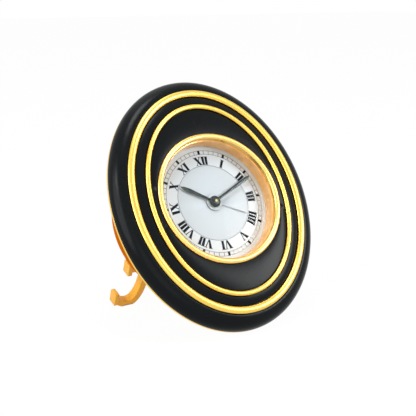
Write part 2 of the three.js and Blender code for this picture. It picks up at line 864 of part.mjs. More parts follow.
function pinion(leaves, module, phase, level, length = pinionLength) {
  return slab(leafOutline(leaves, module, phase), [], level - length, level);
}

function rimOf(teeth, module) {
  return (teeth / 2 - pointedDedendumShare - rimModules) * module;
}

// A train wheel: its arbor, wheel and pinion in one solid
function trainWheel({ teeth, module, level, leaves, leafModule, leafPhase, leafLevel }) {
  return join(
    arbor(arborRadius, rearPlateFace, frontPlateBack),
    wheel(toothOutline(teeth, module), rimOf(teeth, module), level),
    pinion(leaves, leafModule, leafPhase, leafLevel),
  );
}

function levelBehind(offset) {
  return frontPlateBack - offset;
}

// The pinion of a wheel is centred on the level of the wheel that drives it
function pinionLevel(wheelOffset, thickness = wheelThickness) {
  return levelBehind(wheelOffset) - thickness / 2 + pinionLength / 2;
}

function centreWheel() {
  const handEnd = hubTop() - seatGap;
  return join(
    turned([
      [0, rearPlateFace - plateThickness / 2],
      [pivotRadius, rearPlateFace - plateThickness / 2],
      [pivotRadius, rearPlateFace + pivotShoulder],
      [arborRadius + runGap, rearPlateFace + pivotShoulder],
      [arborRadius + runGap, frontPlateBack - pivotShoulder],
      [pipeRadius, frontPlateBack - pivotShoulder],
      [pipeRadius, handEnd],
      [0, handEnd],
    ], arborSides, false),
    wheel(toothOutline(centreTeeth, centreModule), rimOf(centreTeeth, centreModule),
      levelBehind(centreWheelLevel)),
    pinion(centrePinionLeaves, barrelModule,
      meshPhase(barrelPlace, barrelTeeth, 0, centre, centrePinionLeaves),
      pinionLevel(barrelLevel, barrelFloor)),
  );
}

function thirdWheel() {
  return trainWheel({
    teeth: thirdTeeth,
    module: thirdModule,
    level: levelBehind(thirdWheelLevel),
    leaves: thirdPinionLeaves,
    leafModule: centreModule,
    leafPhase: meshPhase(centre, centreTeeth, 0, thirdPlace, thirdPinionLeaves),
    leafLevel: pinionLevel(centreWheelLevel),
  });
}

function fourthWheel() {
  return trainWheel({
    teeth: fourthTeeth,
    module: fourthModule,
    level: levelBehind(fourthWheelLevel),
    leaves: fourthPinionLeaves,
    leafModule: thirdModule,
    leafPhase: meshPhase(thirdPlace, thirdTeeth, 0, fourthPlace, fourthPinionLeaves),
    leafLevel: pinionLevel(thirdWheelLevel),
  });
}

// The escape wheel's pointed teeth lean forward
function escapeWheel() {
  const rootShare = 0.8;
  const rimShare = 0.64;
  const backShare = 0.42;
  const pitch = fullTurn / escapeTeeth;
  const outline = [];
  for (let i = 0; i < escapeTeeth; i += 1) {
    outline.push(polar(escapeRadius, pitch * i));
    outline.push(polar(escapeRadius * rootShare, pitch * (i + backShare / 2)));
    outline.push(polar(escapeRadius * rootShare, pitch * (i + 1 - backShare)));
  }
  return join(
    arbor(arborRadius, rearPlateFace, frontPlateBack),
    wheel(outline, escapeRadius * rimShare, levelBehind(centreWheelLevel)),
    pinion(escapePinionLeaves, fourthModule,
      meshPhase(fourthPlace, fourthTeeth, 0, escapePlace, escapePinionLeaves),
      pinionLevel(fourthWheelLevel)),
  );
}

// The lever is drawn with the escape wheel along +X and the balance along its other end
function palletLever() {
  const stoneReach = escapeRadius + palletClearance;
  const forkEnd = balanceDistance - rollerRadius - palletClearance;
  const armWidth = arborRadius * 2;
  const anchorShare = 0.62;
  const shoulderShare = 0.5;
  const throatShare = 0.8;
  const anchor = new THREE.Vector2(palletDistance - stoneReach, stoneReach * anchorShare);
  const half = [
    new THREE.Vector2(-arborRadius, armWidth),
    new THREE.Vector2(anchor.x * shoulderShare, anchor.y),
    new THREE.Vector2(anchor.x, anchor.y + armWidth / 2),
    new THREE.Vector2(anchor.x + armWidth / 2, anchor.y),
  ];
  const otherHalf = half.map((point) => new THREE.Vector2(point.x, -point.y)).reverse();
  const outline = [...half, new THREE.Vector2(anchor.x * throatShare, 0), ...otherHalf];
  const bend = toRadians(palletAngle - balanceAngle);
  const forkShares = [[0, 0.5], [0, -0.5], [0.8, -0.33], [1, -0.7], [0.88, 0], [1, 0.7], [0.8, 0.33]];
  const forkOutline = forkShares.map(([along, across]) =>
    new THREE.Vector2(forkEnd * along, armWidth * across));
  const fork = slab(forkOutline, [], 0, wheelThickness).rotateZ(Math.PI - bend);
  const lever = [slab(outline, [], 0, wheelThickness), fork]
    .map((flat) => flat.rotateZ(toRadians(palletAngle) + Math.PI)
      .translate(0, 0, levelBehind(centreWheelLevel) - wheelThickness));
  return join(arbor(arborRadius, rearPlateFace, frontPlateBack), ...lever);
}

function balanceWheel() {
  const level = levelBehind(balanceLevel);
  const leverLevel = levelBehind(centreWheelLevel);
  const roller = rod(rollerRadius, leverLevel - wheelThickness, leverLevel, borderSides);
  const rim = slab(circlePoints(balanceRadius, drumSides), [
    circlePoints(arborRadius / 2, arborSides),
    ...crossings(spokeCount, balanceHubRadius, balanceRadius - balanceRim, balanceRim),
  ], level - balanceThickness, level);
  return join(arbor(arborRadius, rearPlateFace, frontPlateBack), rim, roller);
}

function hairspring() {
  const turns = 3;
  const stepsPerTurn = 10;
  const top = levelBehind(hairspringLevel);
  const collet = slab(circlePoints(colletRadius, borderSides),
    [circlePoints(boreRadius(arborRadius, arborSides), arborSides)], top - hairspringHeight, top);
  const spiral = slab(spiralOutline(colletRadius - hairspringThickness / 2, hairspringRadius, turns,
    hairspringThickness, stepsPerTurn), [], top - hairspringHeight, top);
  return join(collet, spiral);
}

// A toothed floor, a drum and a lid, open inside for the spring
function springBarrel(teeth, module, phase, floorAtFront) {
  const wall = teeth * module / 2 - pointedDedendumShare * module - barrelToothBase;
  const front = levelBehind(barrelLevel);
  const back = front - barrelHeight;
  const floor = floorAtFront ? [front - barrelFloor, front] : [back, back + barrelFloor];
  const cavityFront = floorAtFront ? floor[0] : front - barrelWall;
  const cavityBack = floorAtFront ? back + barrelWall : floor[1];
  const bore = boreRadius(barrelBore, arborSides);
  const drum = turned([
    [bore, front],
    [wall, front],
    [wall, back],
    [bore, back],
    [bore, cavityBack],
    [wall - barrelWall, cavityBack],
    [wall - barrelWall, cavityFront],
    [bore, cavityFront],
  ], drumSides);
  const teethHole = circlePoints(wall - barrelWall / 2, drumSides);
  const teethRing = slab(toothOutline(teeth, module, phase), [teethHole], floor[0], floor[1]);
  return { geometry: join(drum, teethRing), cavityFront, cavityBack, cavityRadius: wall - barrelWall };
}

function mainSpring(barrel) {
  const turns = 3;
  const stepsPerTurn = 9;
  const middle = (barrel.cavityFront + barrel.cavityBack) / 2;
  const inner = springCoreRadius + springCoreGap + springThickness / 2;
  const outer = barrel.cavityRadius - springThickness;
  return slab(spiralOutline(inner, outer, turns, springThickness, stepsPerTurn), [],
    middle - springHeight / 2, middle + springHeight / 2);
}

// The arbor that the key turns, with the spring's core in the barrel and the ratchet wheel behind the plate
function windingArbor(barrel, handedness) {
  const ratchetFace = rearPlateBack - seatGap;
  const shaft = turned([
    [0, frontPlateBack + plateThickness / 2],
    [settingArborRadius, frontPlateBack + plateThickness / 2],
    [settingArborRadius, frontPlateBack - pivotShoulder],
    [windingArborRadius, frontPlateBack - pivotShoulder],
    [windingArborRadius, barrel.cavityFront - seatGap],
    [springCoreRadius, barrel.cavityFront - seatGap],
    [springCoreRadius, barrel.cavityBack + seatGap],
    [windingArborRadius, barrel.cavityBack + seatGap],
    [windingArborRadius, coverBack - backStandoff - keyBossHeight / 2],
    [0, coverBack - backStandoff - keyBossHeight / 2],
  ], borderSides, false);
  const ratchet = slab(ratchetOutline(ratchetTeeth, ratchetRadius, handedness), [
    circlePoints(windingArborRadius / 2, arborSides),
  ], ratchetFace - ratchetThickness, ratchetFace);
  return join(shaft, ratchet);
}

// A pawl that points at the ratchet wheel, and stands clear of its teeth
function clickPawl() {
  const face = rearPlateBack - seatGap;
  const outline = [
    ...circlePoints(clickBossRadius, arborSides).slice(1, arborSides),
    new THREE.Vector2(clickLength, -arborRadius),
    new THREE.Vector2(clickLength, arborRadius / 2),
  ];
  const pawl = slab(outline, [], face - ratchetThickness, face);
  return join(pawl, rod(arborRadius, face - wheelThickness, rearPlateBack + plateThickness / 2));
}

// Front plate: the motion work's side, with a stud for the minute wheel
function frontPlate() {
  const plate = drilledDisc(frontPlateRadius, hiddenSides, frontPlateBack, frontPlateFace, [
    [pipeRadius, centre],
    [settingArborRadius, barrelPlace],
    [settingArborRadius, alarmBarrelPlace],
    [settingArborRadius, handSetterPlace],
    [settingArborRadius, alarmSetterPlace],
    ...[...trainPlaces, hammerPlace].map((place) => [pivotRadius, place]),
    ...pillarPlaces.map((place) => [spigotRadius, place]),
    ...dialFootPlaces.map((place) => [dialFootRadius, place]),
  ]);
  const stud = rod(arborRadius, frontPlateBack + plateThickness / 2, hourLevels().pinionTop + seatGap)
    .translate(minutePlace.x, minutePlace.y, 0);
  return join(plate, stud);
}

function rearPlate() {
  const plate = drilledDisc(rearPlateRadius, hiddenSides, rearPlateBack, rearPlateFace, [
    [pivotRadius, centre],
    [windingArborRadius, barrelPlace, borderSides],
    [windingArborRadius, alarmBarrelPlace, borderSides],
    [settingArborRadius, handSetterPlace],
    [settingArborRadius, alarmSetterPlace],
    ...trainPlaces.map((place) => [pivotRadius, place]),
    [arborRadius, hammerPlace],
    [arborRadius, clickPlace(barrelPlace, barrelClickDegrees)],
    [arborRadius, clickPlace(alarmBarrelPlace, alarmClickDegrees)],
    ...pillarPlaces.map((place) => [spigotRadius, place]),
  ]);
  const boss = rod(balanceBossRadius, rearPlateBack - balanceBossHeight, rearPlateBack + weldOverlap)
    .translate(balancePlace.x, balancePlace.y, 0);
  return join(plate, boss);
}

function clickPlace(from, angle) {
  return away(from, clickDistance, angle);
}

function pillar() {
  const foot = rearPlateFace + seatGap;
  const head = frontPlateBack - seatGap;
  return turned([
    [0, foot - plateThickness],
    [spigotRadius, foot - plateThickness],
    [spigotRadius, foot],
    [pillarRadius, foot],
    [pillarRadius, head],
    [spigotRadius, head],
    [spigotRadius, head + plateThickness],
    [0, head + plateThickness],
  ], arborSides, false);
}

// Motion work, between the front plate and the dial
function hourPipeOuter() {
  return pipeRadius + runGap + pipeWall + runGap + pipeWall;
}

function alarmPipeOuter() {
  return hourPipeOuter() + runGap + pipeWall;
}

function hubTop() {
  return dialFace + handSpacing * 2 + handThickness * 2 + hubHeight;
}

// Levels of the motion work, from the front plate forward
function hourLevels() {
  const cannonBottom = frontPlateFace + motionGap;
  const cannonTop = cannonBottom + motionGearThickness;
  const hourBottom = cannonTop + motionGap;
  const hourTop = hourBottom + motionGearThickness;
  const pinionTop = hourTop + seatGap;
  const alarmBottom = hourTop + alarmWheelLift;
  const alarmTop = alarmBottom + motionGearThickness;
  return { cannonBottom, cannonTop, hourBottom, hourTop, pinionTop, alarmBottom, alarmTop };
}

function tube(bore, outer, bottom, top) {
  const inner = boreRadius(bore, borderSides);
  return turned([[inner, bottom], [outer, bottom], [outer, top], [inner, top]], borderSides);
}

function cannonPinion() {
  const { cannonBottom, cannonTop } = hourLevels();
  const outer = pipeRadius + runGap + pipeWall;
  const leaves = slab(leafOutline(cannonLeaves, cannonModule, 0),
    [circlePoints(boreRadius(pipeRadius, borderSides), borderSides)], cannonBottom, cannonTop);
  return join(leaves, tube(pipeRadius, outer, cannonBottom, hubTop() - hubHeight / 2));
}

function minuteWheel() {
  const { cannonBottom, cannonTop, pinionTop } = hourLevels();
  const bore = circlePoints(boreRadius(arborRadius, arborSides), arborSides);
  const phase = meshPhase(centre, cannonLeaves, 0, minutePlace, minuteTeeth);
  return join(
    slab(toothOutline(minuteTeeth, cannonModule, phase), [bore], cannonBottom, cannonTop),
    slab(leafOutline(minutePinionLeaves, hourModule, 0), [bore], cannonTop - seatGap, pinionTop),
  );
}

function hourWheel() {
  const { hourBottom, hourTop } = hourLevels();
  const bore = pipeRadius + runGap + pipeWall;
  const phase = meshPhase(minutePlace, minutePinionLeaves, 0, centre, hourTeeth);
  const flat = slab(toothOutline(hourTeeth, hourModule, phase), [
    circlePoints(boreRadius(bore, borderSides), borderSides),
    ...crossings(spokeCount, motionHubRadius, rimOf(hourTeeth, hourModule), motionSpokeWidth),
  ], hourBottom, hourTop);
  return join(flat, tube(bore, hourPipeOuter(), hourBottom, handLevels().hour + handThickness));
}

function alarmWheel() {
  const { alarmBottom, alarmTop } = hourLevels();
  const bore = hourPipeOuter();
  const flat = slab(toothOutline(hourTeeth, hourModule), [
    circlePoints(boreRadius(bore, borderSides), borderSides),
    ...crossings(spokeCount, motionHubRadius, rimOf(hourTeeth, hourModule), motionSpokeWidth),
  ], alarmBottom, alarmTop);
  return join(flat, tube(bore, alarmPipeOuter(), alarmBottom, handLevels().alarm + handThickness));
}

// A long arbor through both plates and the cover, with a pinion in the motion work
function settingArbor(leaves, module, phase, bottom, top) {
  return join(
    rod(settingArborRadius, coverBack - backStandoff - knobHeight / 2, top + seatGap),
    slab(leafOutline(leaves, module, phase), [], bottom, top),
  );
}

function handSettingArbor() {
  const { cannonBottom, cannonTop } = hourLevels();
  const minutePhase = meshPhase(centre, cannonLeaves, 0, minutePlace, minuteTeeth);
  const phase = meshPhase(minutePlace, minuteTeeth, minutePhase, handSetterPlace, cannonLeaves);
  return settingArbor(cannonLeaves, cannonModule, phase, cannonBottom, cannonTop);
}

function alarmSettingArbor() {
  const { alarmBottom, alarmTop } = hourLevels();
  const phase = meshPhase(centre, hourTeeth, 0, alarmSetterPlace, minutePinionLeaves);
  return settingArbor(minutePinionLeaves, hourModule, phase, alarmBottom, alarmTop);
}

// A thin leaf that presses the hour wheel forward and frees the hammer at the alarm's time
function alarmReleaseSpring() {
  const { hourBottom } = hourLevels();
  const low = frontPlateFace + seatGap;
  const high = hourBottom - seatGap - releaseSpringThickness;
  const bendPoint = releaseSpringRoot - releaseSpringWidth;
  const profile = [
    new THREE.Vector2(releaseSpringRoot, low),
    new THREE.Vector2(releaseSpringRoot, low + releaseSpringThickness),
    new THREE.Vector2(bendPoint, low + releaseSpringThickness),
    new THREE.Vector2(releaseSpringTip, high + releaseSpringThickness),
    new THREE.Vector2(releaseSpringTip, high),
    new THREE.Vector2(bendPoint, low),
  ];
  return slab(profile, [], -releaseSpringWidth / 2, releaseSpringWidth / 2)
    .rotateX(Math.PI / 2)
    .rotateZ(toRadians(releaseSpringDegrees));
}

// Alarm train
function alarmStrikeWheel() {
  const rootShare = 0.82;
  const rimShare = 0.67;
  const pointedTeeth = 16;
  const outline = [];
  for (let i = 0; i < pointedTeeth; i += 1) {
    outline.push(polar(strikeRadius, fullTurn * i / pointedTeeth));
    outline.push(polar(strikeRadius * rootShare, fullTurn * (2 * i + 1) / pointedTeeth / 2));
  }
  const phase = meshPhase(alarmBarrelPlace, alarmBarrelTeeth, 0, strikePlace, strikePinionLeaves);
  return join(
    arbor(arborRadius, rearPlateFace, frontPlateBack),
    wheel(outline, strikeRadius * rimShare, levelBehind(centreWheelLevel)),
    pinion(strikePinionLeaves, alarmBarrelModule, phase, pinionLevel(alarmGearLevel, barrelFloor)),
  );
}

// The hammer: an arbor with two pallets between the plates, and an arm with a round head behind them
function alarmHammer() {
  const armFace = rearPlateBack - gongDepth + gongWire;
  const palletLevel = levelBehind(centreWheelLevel);
  const towardWheel = toRadians(hammerAngle) + Math.PI;
  const verge = slab([
    new THREE.Vector2(-arborRadius, -vergeHalf),
    new THREE.Vector2(vergeReach, -vergeHalf),
    new THREE.Vector2(vergeReach, -vergeHalf + arborRadius),
    new THREE.Vector2(arborRadius, -vergeHalf + vergeShoulder),
    new THREE.Vector2(arborRadius, vergeHalf - vergeShoulder),
    new THREE.Vector2(vergeReach, vergeHalf - arborRadius),
    new THREE.Vector2(vergeReach, vergeHalf),
    new THREE.Vector2(-arborRadius, vergeHalf),
  ], [], palletLevel - wheelThickness, palletLevel).rotateZ(towardWheel);
  const armBack = armFace - hammerArmThickness;
  const armMiddle = (armFace + armBack) / 2;
  const arm = slab([
    new THREE.Vector2(hammerArmWidth / 2, -hammerArmWidth / 2),
    new THREE.Vector2(hammerArmWidth / 2, hammerArmWidth / 2),
    new THREE.Vector2(-hammerReach, hammerArmWidth / 4),
    new THREE.Vector2(-hammerReach, -hammerArmWidth / 4),
  ], [], armBack, armFace);
  const head = rod(hammerHeadRadius, armMiddle - hammerHeadLength / 2, armMiddle + hammerHeadLength / 2,
    borderSides).translate(-hammerReach, 0, 0);
  const shaft = turned([
    [0, armBack],
    [arborRadius, armBack],
    [arborRadius, frontPlateBack - pivotShoulder],
    [pivotRadius, frontPlateBack - pivotShoulder],
    [pivotRadius, frontPlateBack + plateThickness / 2],
    [0, frontPlateBack + plateThickness / 2],
  ], arborSides, false);
  return join(shaft, verge, arm, head);
}

// A round steel wire bent to an arc, with its block on the rear plate
function alarmGong() {
  const gongStartDegrees = 95;
  const gongSweepDegrees = 225;
  const arcSteps = 18;
  const level = rearPlateBack - gongDepth;
  class Arc extends THREE.Curve {
    getPoint(share, target = new THREE.Vector3()) {
      const angle = toRadians(gongStartDegrees + gongSweepDegrees * share);
      return target.set(gongRadius * Math.cos(angle), gongRadius * Math.sin(angle), level);
    }
  }
  const wireShape = new THREE.Shape(circlePoints(gongWire, wireSides));
  const wire = new THREE.ExtrudeGeometry(wireShape, { extrudePath: new Arc(), steps: arcSteps });
  const endDegrees = gongStartDegrees + gongSweepDegrees;
  const blockPlace = away(centre, gongRadius - gongWire, endDegrees);
  const gongBlockHeight = gongDepth + gongWire - seatGap;
  const block = new THREE.BoxGeometry(gongBlockSize, gongBlockSize, gongBlockHeight)
    .translate(0, 0, rearPlateBack - seatGap - gongBlockHeight / 2)
    .rotateZ(toRadians(endDegrees))
    .translate(blockPlace.x, blockPlace.y, 0);
  return join(wire, block);
}

// Hands
function handLevels() {
  const alarm = dialFace + handThickness;
  const hour = alarm + handSpacing;
  const minute = hour + handSpacing;
  return { alarm, hour, minute };
}

// A flat hand: a hub and a blade that widens towards its tip, drawn upwards and turned clockwise
function hand(length, width, hub, bore, level, degreesFromTop, bladeShares) {
  const half = bladeShares.map(([across, along]) => new THREE.Vector2(width / 2 * across, length * along));
  const mirrored = half.filter((point) => point.x > 0).map((point) => new THREE.Vector2(-point.x, point.y));
  const blade = slab([...half, ...mirrored.reverse()], [], level, level + handThickness);
  const disc = slab(circlePoints(hub, drumSides), [], level, level + handThickness);
  const hole = rod(boreRadius(bore, borderSides), level - cutOverrun, level + cutOverrun, borderSides);
  return cut(join(blade, disc), hole).rotateZ(-toRadians(degreesFromTop));
}

function hourHand() {
  const shares = [[0.5, 0], [0.5, 0.2], [1, 0.7], [0, 1]];
  const length = dialWindowRadius - hourHandInset;
  return hand(length, hourHandWidth, hourHubRadius, hourPipeOuter(), handLevels().hour, hourHandDegrees,
    shares);
}

function minuteHand() {
  const level = handLevels().minute;
  const bore = boreRadius(pipeRadius + runGap + pipeWall, borderSides);
  const bladeShares = [[0.5, 0.08], [0.5, 0.2], [1, 0.82], [0.35, 1]];
  const right = bladeShares.map(([across, along]) =>
    new THREE.Vector2(minuteHandWidth / 2 * across, (dialWindowRadius - minuteHandInset) * along));
  const left = right.map((point) => new THREE.Vector2(-point.x, point.y)).reverse();
  const blade = slab([...right, ...left], [], level, level + handThickness)
    .rotateZ(-toRadians(minuteHandDegrees));
  const domeShares = [[1, 0], [0.92, 0.5], [0.65, 0.9]];
  const dome = turned([
    [bore, level],
    ...domeShares.map(([across, up]) => [hubRadius * across, level + hubHeight * up]),
    [bore, level + hubHeight],
  ], drumSides);
  return join(blade, dome);
}

function alarmHand() {
  const shares = [[1, 0], [1, 1]];
  const length = dialWindowRadius - alarmHandInset;
  return hand(length, alarmHandWidth, alarmBossRadius, alarmPipeOuter(), handLevels().alarm,
    alarmHandDegrees, shares);
}

// Controls on the back
function windingKey() {
  const face = coverBack - backStandoff;
  const base = face - keyBossHeight;
  const bore = boreRadius(windingArborRadius, borderSides);
  const boreEnd = face - keyBossHeight / 2 - seatGap;
  const boss = turned([
    [0, boreEnd],
    [bore, boreEnd],
    [bore, face],
    [keyBossRadius, face],
    [keyBossRadius, base],
    [0, base],
  ], borderSides, false);
  const wingShares = [[0.2, 0], [0.75, 0.1], [1, 0.4], [0.95, 0.8], [0.7, 1], [0.35, 0.85], [0.15, 0.55]];
  const right = wingShares.map(([across, down]) =>
    new THREE.Vector2(keyWingLength * across, -keyWingHeight * down));
  const left = right.map((point) => new THREE.Vector2(-point.x, point.y)).reverse();
  const wings = slab([...right, ...left], [], -keyWingThickness / 2, keyWingThickness / 2)
    .rotateX(Math.PI / 2)
    .translate(0, 0, base + weldOverlap);
  return join(boss, wings);
}

function settingKnob() {
  const face = coverBack - backStandoff;
  const back = face - knobHeight;
  const crest = knobRadius - knobChamfer;
  const outline = circlePoints(crest, knobFlutes * 2)
    .map((point, i) => point.multiplyScalar(i % 2 ? 1 : fluteShare));
  const shape = new THREE.Shape(outline);
  const bore = boreRadius(settingArborRadius, arborSides, runGap + knobChamfer);
  shape.holes.push(new THREE.Path(circlePoints(bore, arborSides)));
  return new THREE.ExtrudeGeometry(shape, {
    depth: knobHeight - 2 * knobChamfer,
    bevelThickness: knobChamfer,
    bevelSize: knobChamfer,
    bevelSegments: 1,
  }).translate(0, 0, back + knobChamfer);
}

// A push button: its collar inside the cover keeps it in, and its stem ends short of the hammer's arm
function alarmStopButton() {
  const face = coverBack - backStandoff - buttonTravel;
  const back = face - buttonRadius;
  const collar = coverFace + seatGap;
  return turned([
    [0, coverFace + buttonReach],
    [buttonStemRadius, coverFace + buttonReach],
    [buttonStemRadius, collar + buttonCollar],
    [buttonRadius, collar + buttonCollar],
    [buttonRadius, collar],
    [buttonStemRadius, collar],
    [buttonStemRadius, face],
    [buttonRadius, face],
    [buttonRadius, back + buttonChamfer],
    [buttonRadius - buttonChamfer, back],
    [0, back],
  ], borderSides, false);
}

// A ring round the balance's boss, an arm, and a tip that stands in the cover's slot
function regulatorLever() {
  const face = rearPlateBack - seatGap;
  const angle = toRadians(regulatorDegrees);
  const ring = slab(circlePoints(regulatorRingRadius, drumSides),
    [circlePoints(boreRadius(balanceBossRadius, borderSides), borderSides)], face - wheelThickness, face);
  const armStart = regulatorRingRadius - weldOverlap;
  const arm = slab([
    new THREE.Vector2(armStart, -regulatorArmWidth / 2),
    new THREE.Vector2(regulatorLength, -regulatorArmWidth / 2),
    new THREE.Vector2(regulatorLength, regulatorArmWidth / 2),
    new THREE.Vector2(armStart, regulatorArmWidth / 2),
  ], [], face - wheelThickness, face).rotateZ(angle);
  const place = polar(regulatorLength, angle);
  const tip = rod(regulatorTipRadius, coverBack - seatGap, face).translate(place.x, place.y, 0);
  return join(ring, arm, tip);
}

// Assembly
piece('front_frame', frontFrame(), lacquer);
piece('outer_ring', ovalRing(outerRingHalfWidth, outerRingHalfHeight, outerRingBand, outerRingCrestDepth),
  gilt);
piece('inner_ring', ovalRing(innerRingHalfWidth, innerRingHalfHeight, innerRingBand, 0), gilt);
piece('bezel', bezel(), gilt);
piece('crystal', crystal(), glass);
piece('reflector_ring', reflectorRing(), warmGilt);
piece('dial', dial(), dialPaint);
piece('back_plate', backPlate(), gilt);
piece('rear_can', rearCan(), warmGilt);
piece('rear_cover', rearCover(), warmGilt);
coverScrewPlaces.forEach((place, i) => piece(`cover_screw_${i + 1}`, coverScrew(), steel, place));
piece('stand_bracket', standBracket(), warmGilt);
piece('stand_hinge_pin', standHingePin(), steel);
piece('stand_leg', standLeg(), warmGilt, centre, leg);

piece('front_plate', frontPlate(), brass);
piece('rear_plate', rearPlate(), brass);
pillarPlaces.forEach((place, i) => piece(`plate_pillar_${i + 1}`, pillar(), brass, place));

const goingBarrel = springBarrel(barrelTeeth, barrelModule, 0, true);
piece('going_barrel', goingBarrel.geometry, brass, barrelPlace);
piece('mainspring', mainSpring(goingBarrel), blueSteel, barrelPlace);
piece('winding_arbor', windingArbor(goingBarrel, -1), steel, barrelPlace);
piece('centre_wheel', centreWheel(), brass);
piece('third_wheel', thirdWheel(), brass, thirdPlace);
piece('fourth_wheel', fourthWheel(), brass, fourthPlace);
piece('escape_wheel', escapeWheel(), brass, escapePlace);
piece('pallet_lever', palletLever(), steel, palletPlace);
piece('balance_wheel', balanceWheel(), brass, balancePlace);
piece('hairspring', hairspring(), blueSteel, balancePlace);
piece('regulator_lever', regulatorLever(), steel, balancePlace);

piece('cannon_pinion', cannonPinion(), steel);
piece('minute_wheel', minuteWheel(), brass, minutePlace);
piece('hour_wheel', hourWheel(), brass);
piece('alarm_wheel', alarmWheel(), brass);
piece('hand_setting_arbor', handSettingArbor(), steel, handSetterPlace);
piece('alarm_setting_arbor', alarmSettingArbor(), steel, alarmSetterPlace);
piece('alarm_release_spring', alarmReleaseSpring(), steel);

const alarmBarrel = springBarrel(alarmBarrelTeeth, alarmBarrelModule, 0, false);
piece('alarm_barrel', alarmBarrel.geometry, brass, alarmBarrelPlace);
piece('alarm_mainspring', mainSpring(alarmBarrel), blueSteel, alarmBarrelPlace);
piece('alarm_winding_arbor', windingArbor(alarmBarrel, 1), steel, alarmBarrelPlace);
piece('alarm_strike_wheel', alarmStrikeWheel(), brass, strikePlace);
piece('alarm_hammer', alarmHammer(), steel, hammerPlace);
piece('alarm_gong', alarmGong(), steel);

piece('alarm_hand', alarmHand(), gilt);
piece('hour_hand', hourHand(), handPaint);
piece('minute_hand', minuteHand(), handPaint);

piece('winding_key', windingKey(), gilt, barrelPlace);
piece('alarm_winding_key', windingKey(), gilt, alarmBarrelPlace);
piece('hand_setting_knob', settingKnob(), gilt, handSetterPlace);
piece('alarm_setting_knob', settingKnob(), gilt, alarmSetterPlace);
piece('alarm_stop_button', alarmStopButton(), gilt, buttonPlace);

// Each click's pawl points from its stud at the ratchet wheel's centre
const clicks = [
  ['click', barrelPlace, barrelClickDegrees],
  ['alarm_click', alarmBarrelPlace, alarmClickDegrees],
];
for (const [name, from, angle] of clicks) {
  const turnedPawl = clickPawl().rotateZ(toRadians(angle) + Math.PI);
  piece(name, turnedPawl, steel, clickPlace(from, angle));
}

// Stand the clock on the ground, centred over the origin
const part = new THREE.Group();
part.add(clock);
part.updateMatrixWorld(true);
const bounds = new THREE.Box3().setFromObject(part, true);
clock.position.set(0, -(bounds.min.y + bounds.max.y) / 2, -bounds.min.z);

export default part;
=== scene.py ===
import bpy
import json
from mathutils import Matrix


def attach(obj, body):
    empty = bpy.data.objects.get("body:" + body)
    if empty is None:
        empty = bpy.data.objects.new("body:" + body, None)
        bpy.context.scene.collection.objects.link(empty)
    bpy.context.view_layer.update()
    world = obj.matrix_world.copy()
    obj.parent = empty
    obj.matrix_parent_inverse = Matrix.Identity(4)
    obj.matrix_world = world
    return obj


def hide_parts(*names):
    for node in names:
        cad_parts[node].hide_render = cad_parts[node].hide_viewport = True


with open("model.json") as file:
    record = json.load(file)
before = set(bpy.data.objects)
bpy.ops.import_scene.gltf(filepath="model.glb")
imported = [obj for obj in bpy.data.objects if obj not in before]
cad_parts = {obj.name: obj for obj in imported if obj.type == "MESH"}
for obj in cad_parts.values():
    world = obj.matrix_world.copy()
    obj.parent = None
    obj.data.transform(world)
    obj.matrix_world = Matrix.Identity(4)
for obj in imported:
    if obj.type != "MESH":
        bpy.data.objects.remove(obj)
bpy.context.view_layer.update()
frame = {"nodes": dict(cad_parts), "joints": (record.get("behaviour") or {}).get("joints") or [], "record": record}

import json
import math
from math import cos, pi, radians, sin
import bmesh
import bpy
from mathutils import Matrix, Vector

mm = 0.001
white = (1, 1, 1, 1)
scene = bpy.context.scene
jointAt = {joint["name"]: joint for joint in frame["joints"]}

# the clock leans back, and its pieces are drawn in the dial's own frame: x right, y up the dial, z out of it
clockStance = {"leanBack": 31.6, "legOpen": 50.0, "hingeDrop": 9.5, "hingeLevel": -30.7}
handAxis = Vector(jointAt["hour_hand_turn"]["pos_m"])
dialTilt = radians(90 - clockStance["leanBack"])  # from lying on its back to standing
clockFrame = Matrix.Translation(handAxis) @ Matrix.Rotation(dialTilt, 4, "X") @ Matrix.Scale(mm, 4)
hingePlace = Matrix.Translation((0, -clockStance["hingeDrop"], clockStance["hingeLevel"]))
legFrame = clockFrame @ hingePlace @ Matrix.Rotation(radians(clockStance["legOpen"]), 4, "X")


def jointPlace(name):
    # where a joint's axis crosses the front plane, in the dial's frame
    place = clockFrame.inverted() @ Vector(jointAt[name]["pos_m"])
    return place.x, place.y


def addObject(name, data):
    made = bpy.data.objects.new(name, data)
    scene.collection.objects.link(made)
    return made


print("camera")
cameraSettings = {
    "azimuth": 33.41, "elevation": 13.94, "distance": 0.276, "lens": 71.96, "sensor": 36.0,
    "shift": (-0.0338, -0.0279), "clip": (0.01, 20)}


def makeCamera(s):
    azimuth, elevation = radians(s["azimuth"]), radians(s["elevation"])
    toCamera = Vector((-sin(azimuth) * cos(elevation), -cos(azimuth) * cos(elevation),
                       sin(elevation)))
    data = bpy.data.cameras.new("photoCamera")
    data.lens, data.sensor_width = s["lens"], s["sensor"]
    data.shift_x, data.shift_y = s["shift"]
    data.clip_start, data.clip_end = s["clip"]
    camera = addObject("photoCamera", data)
    camera.matrix_world = (Matrix.Translation(handAxis + toCamera * s["distance"])
                           @ toCamera.to_track_quat("Z", "Y").to_matrix().to_4x4())
    scene.camera = camera


makeCamera(cameraSettings)
scene.view_settings.view_transform = "Standard"


print("shader groups")


def addNode(tree, kind, values=None, **settings):
    # values go to the sockets, as a link where the value is another node's socket
    made = tree.nodes.new(kind)
    for key, value in settings.items():
        setattr(made, key, value)
    for key, value in (values or {}).items():
        socket = made.inputs[key]
        if isinstance(value, bpy.types.NodeSocket):
            tree.links.new(value, socket)
        else:
            socket.default_value = value
    return made


def openGroup(name, inputs):
    group = bpy.data.node_groups.new(name, "ShaderNodeTree")
    for label, value in inputs.items():
        kind = "NodeSocketColor" if isinstance(value, tuple) else "NodeSocketFloat"
        group.interface.new_socket(label, in_out="INPUT", socket_type=kind).default_value = value
    return group, group.nodes.new("NodeGroupInput").outputs


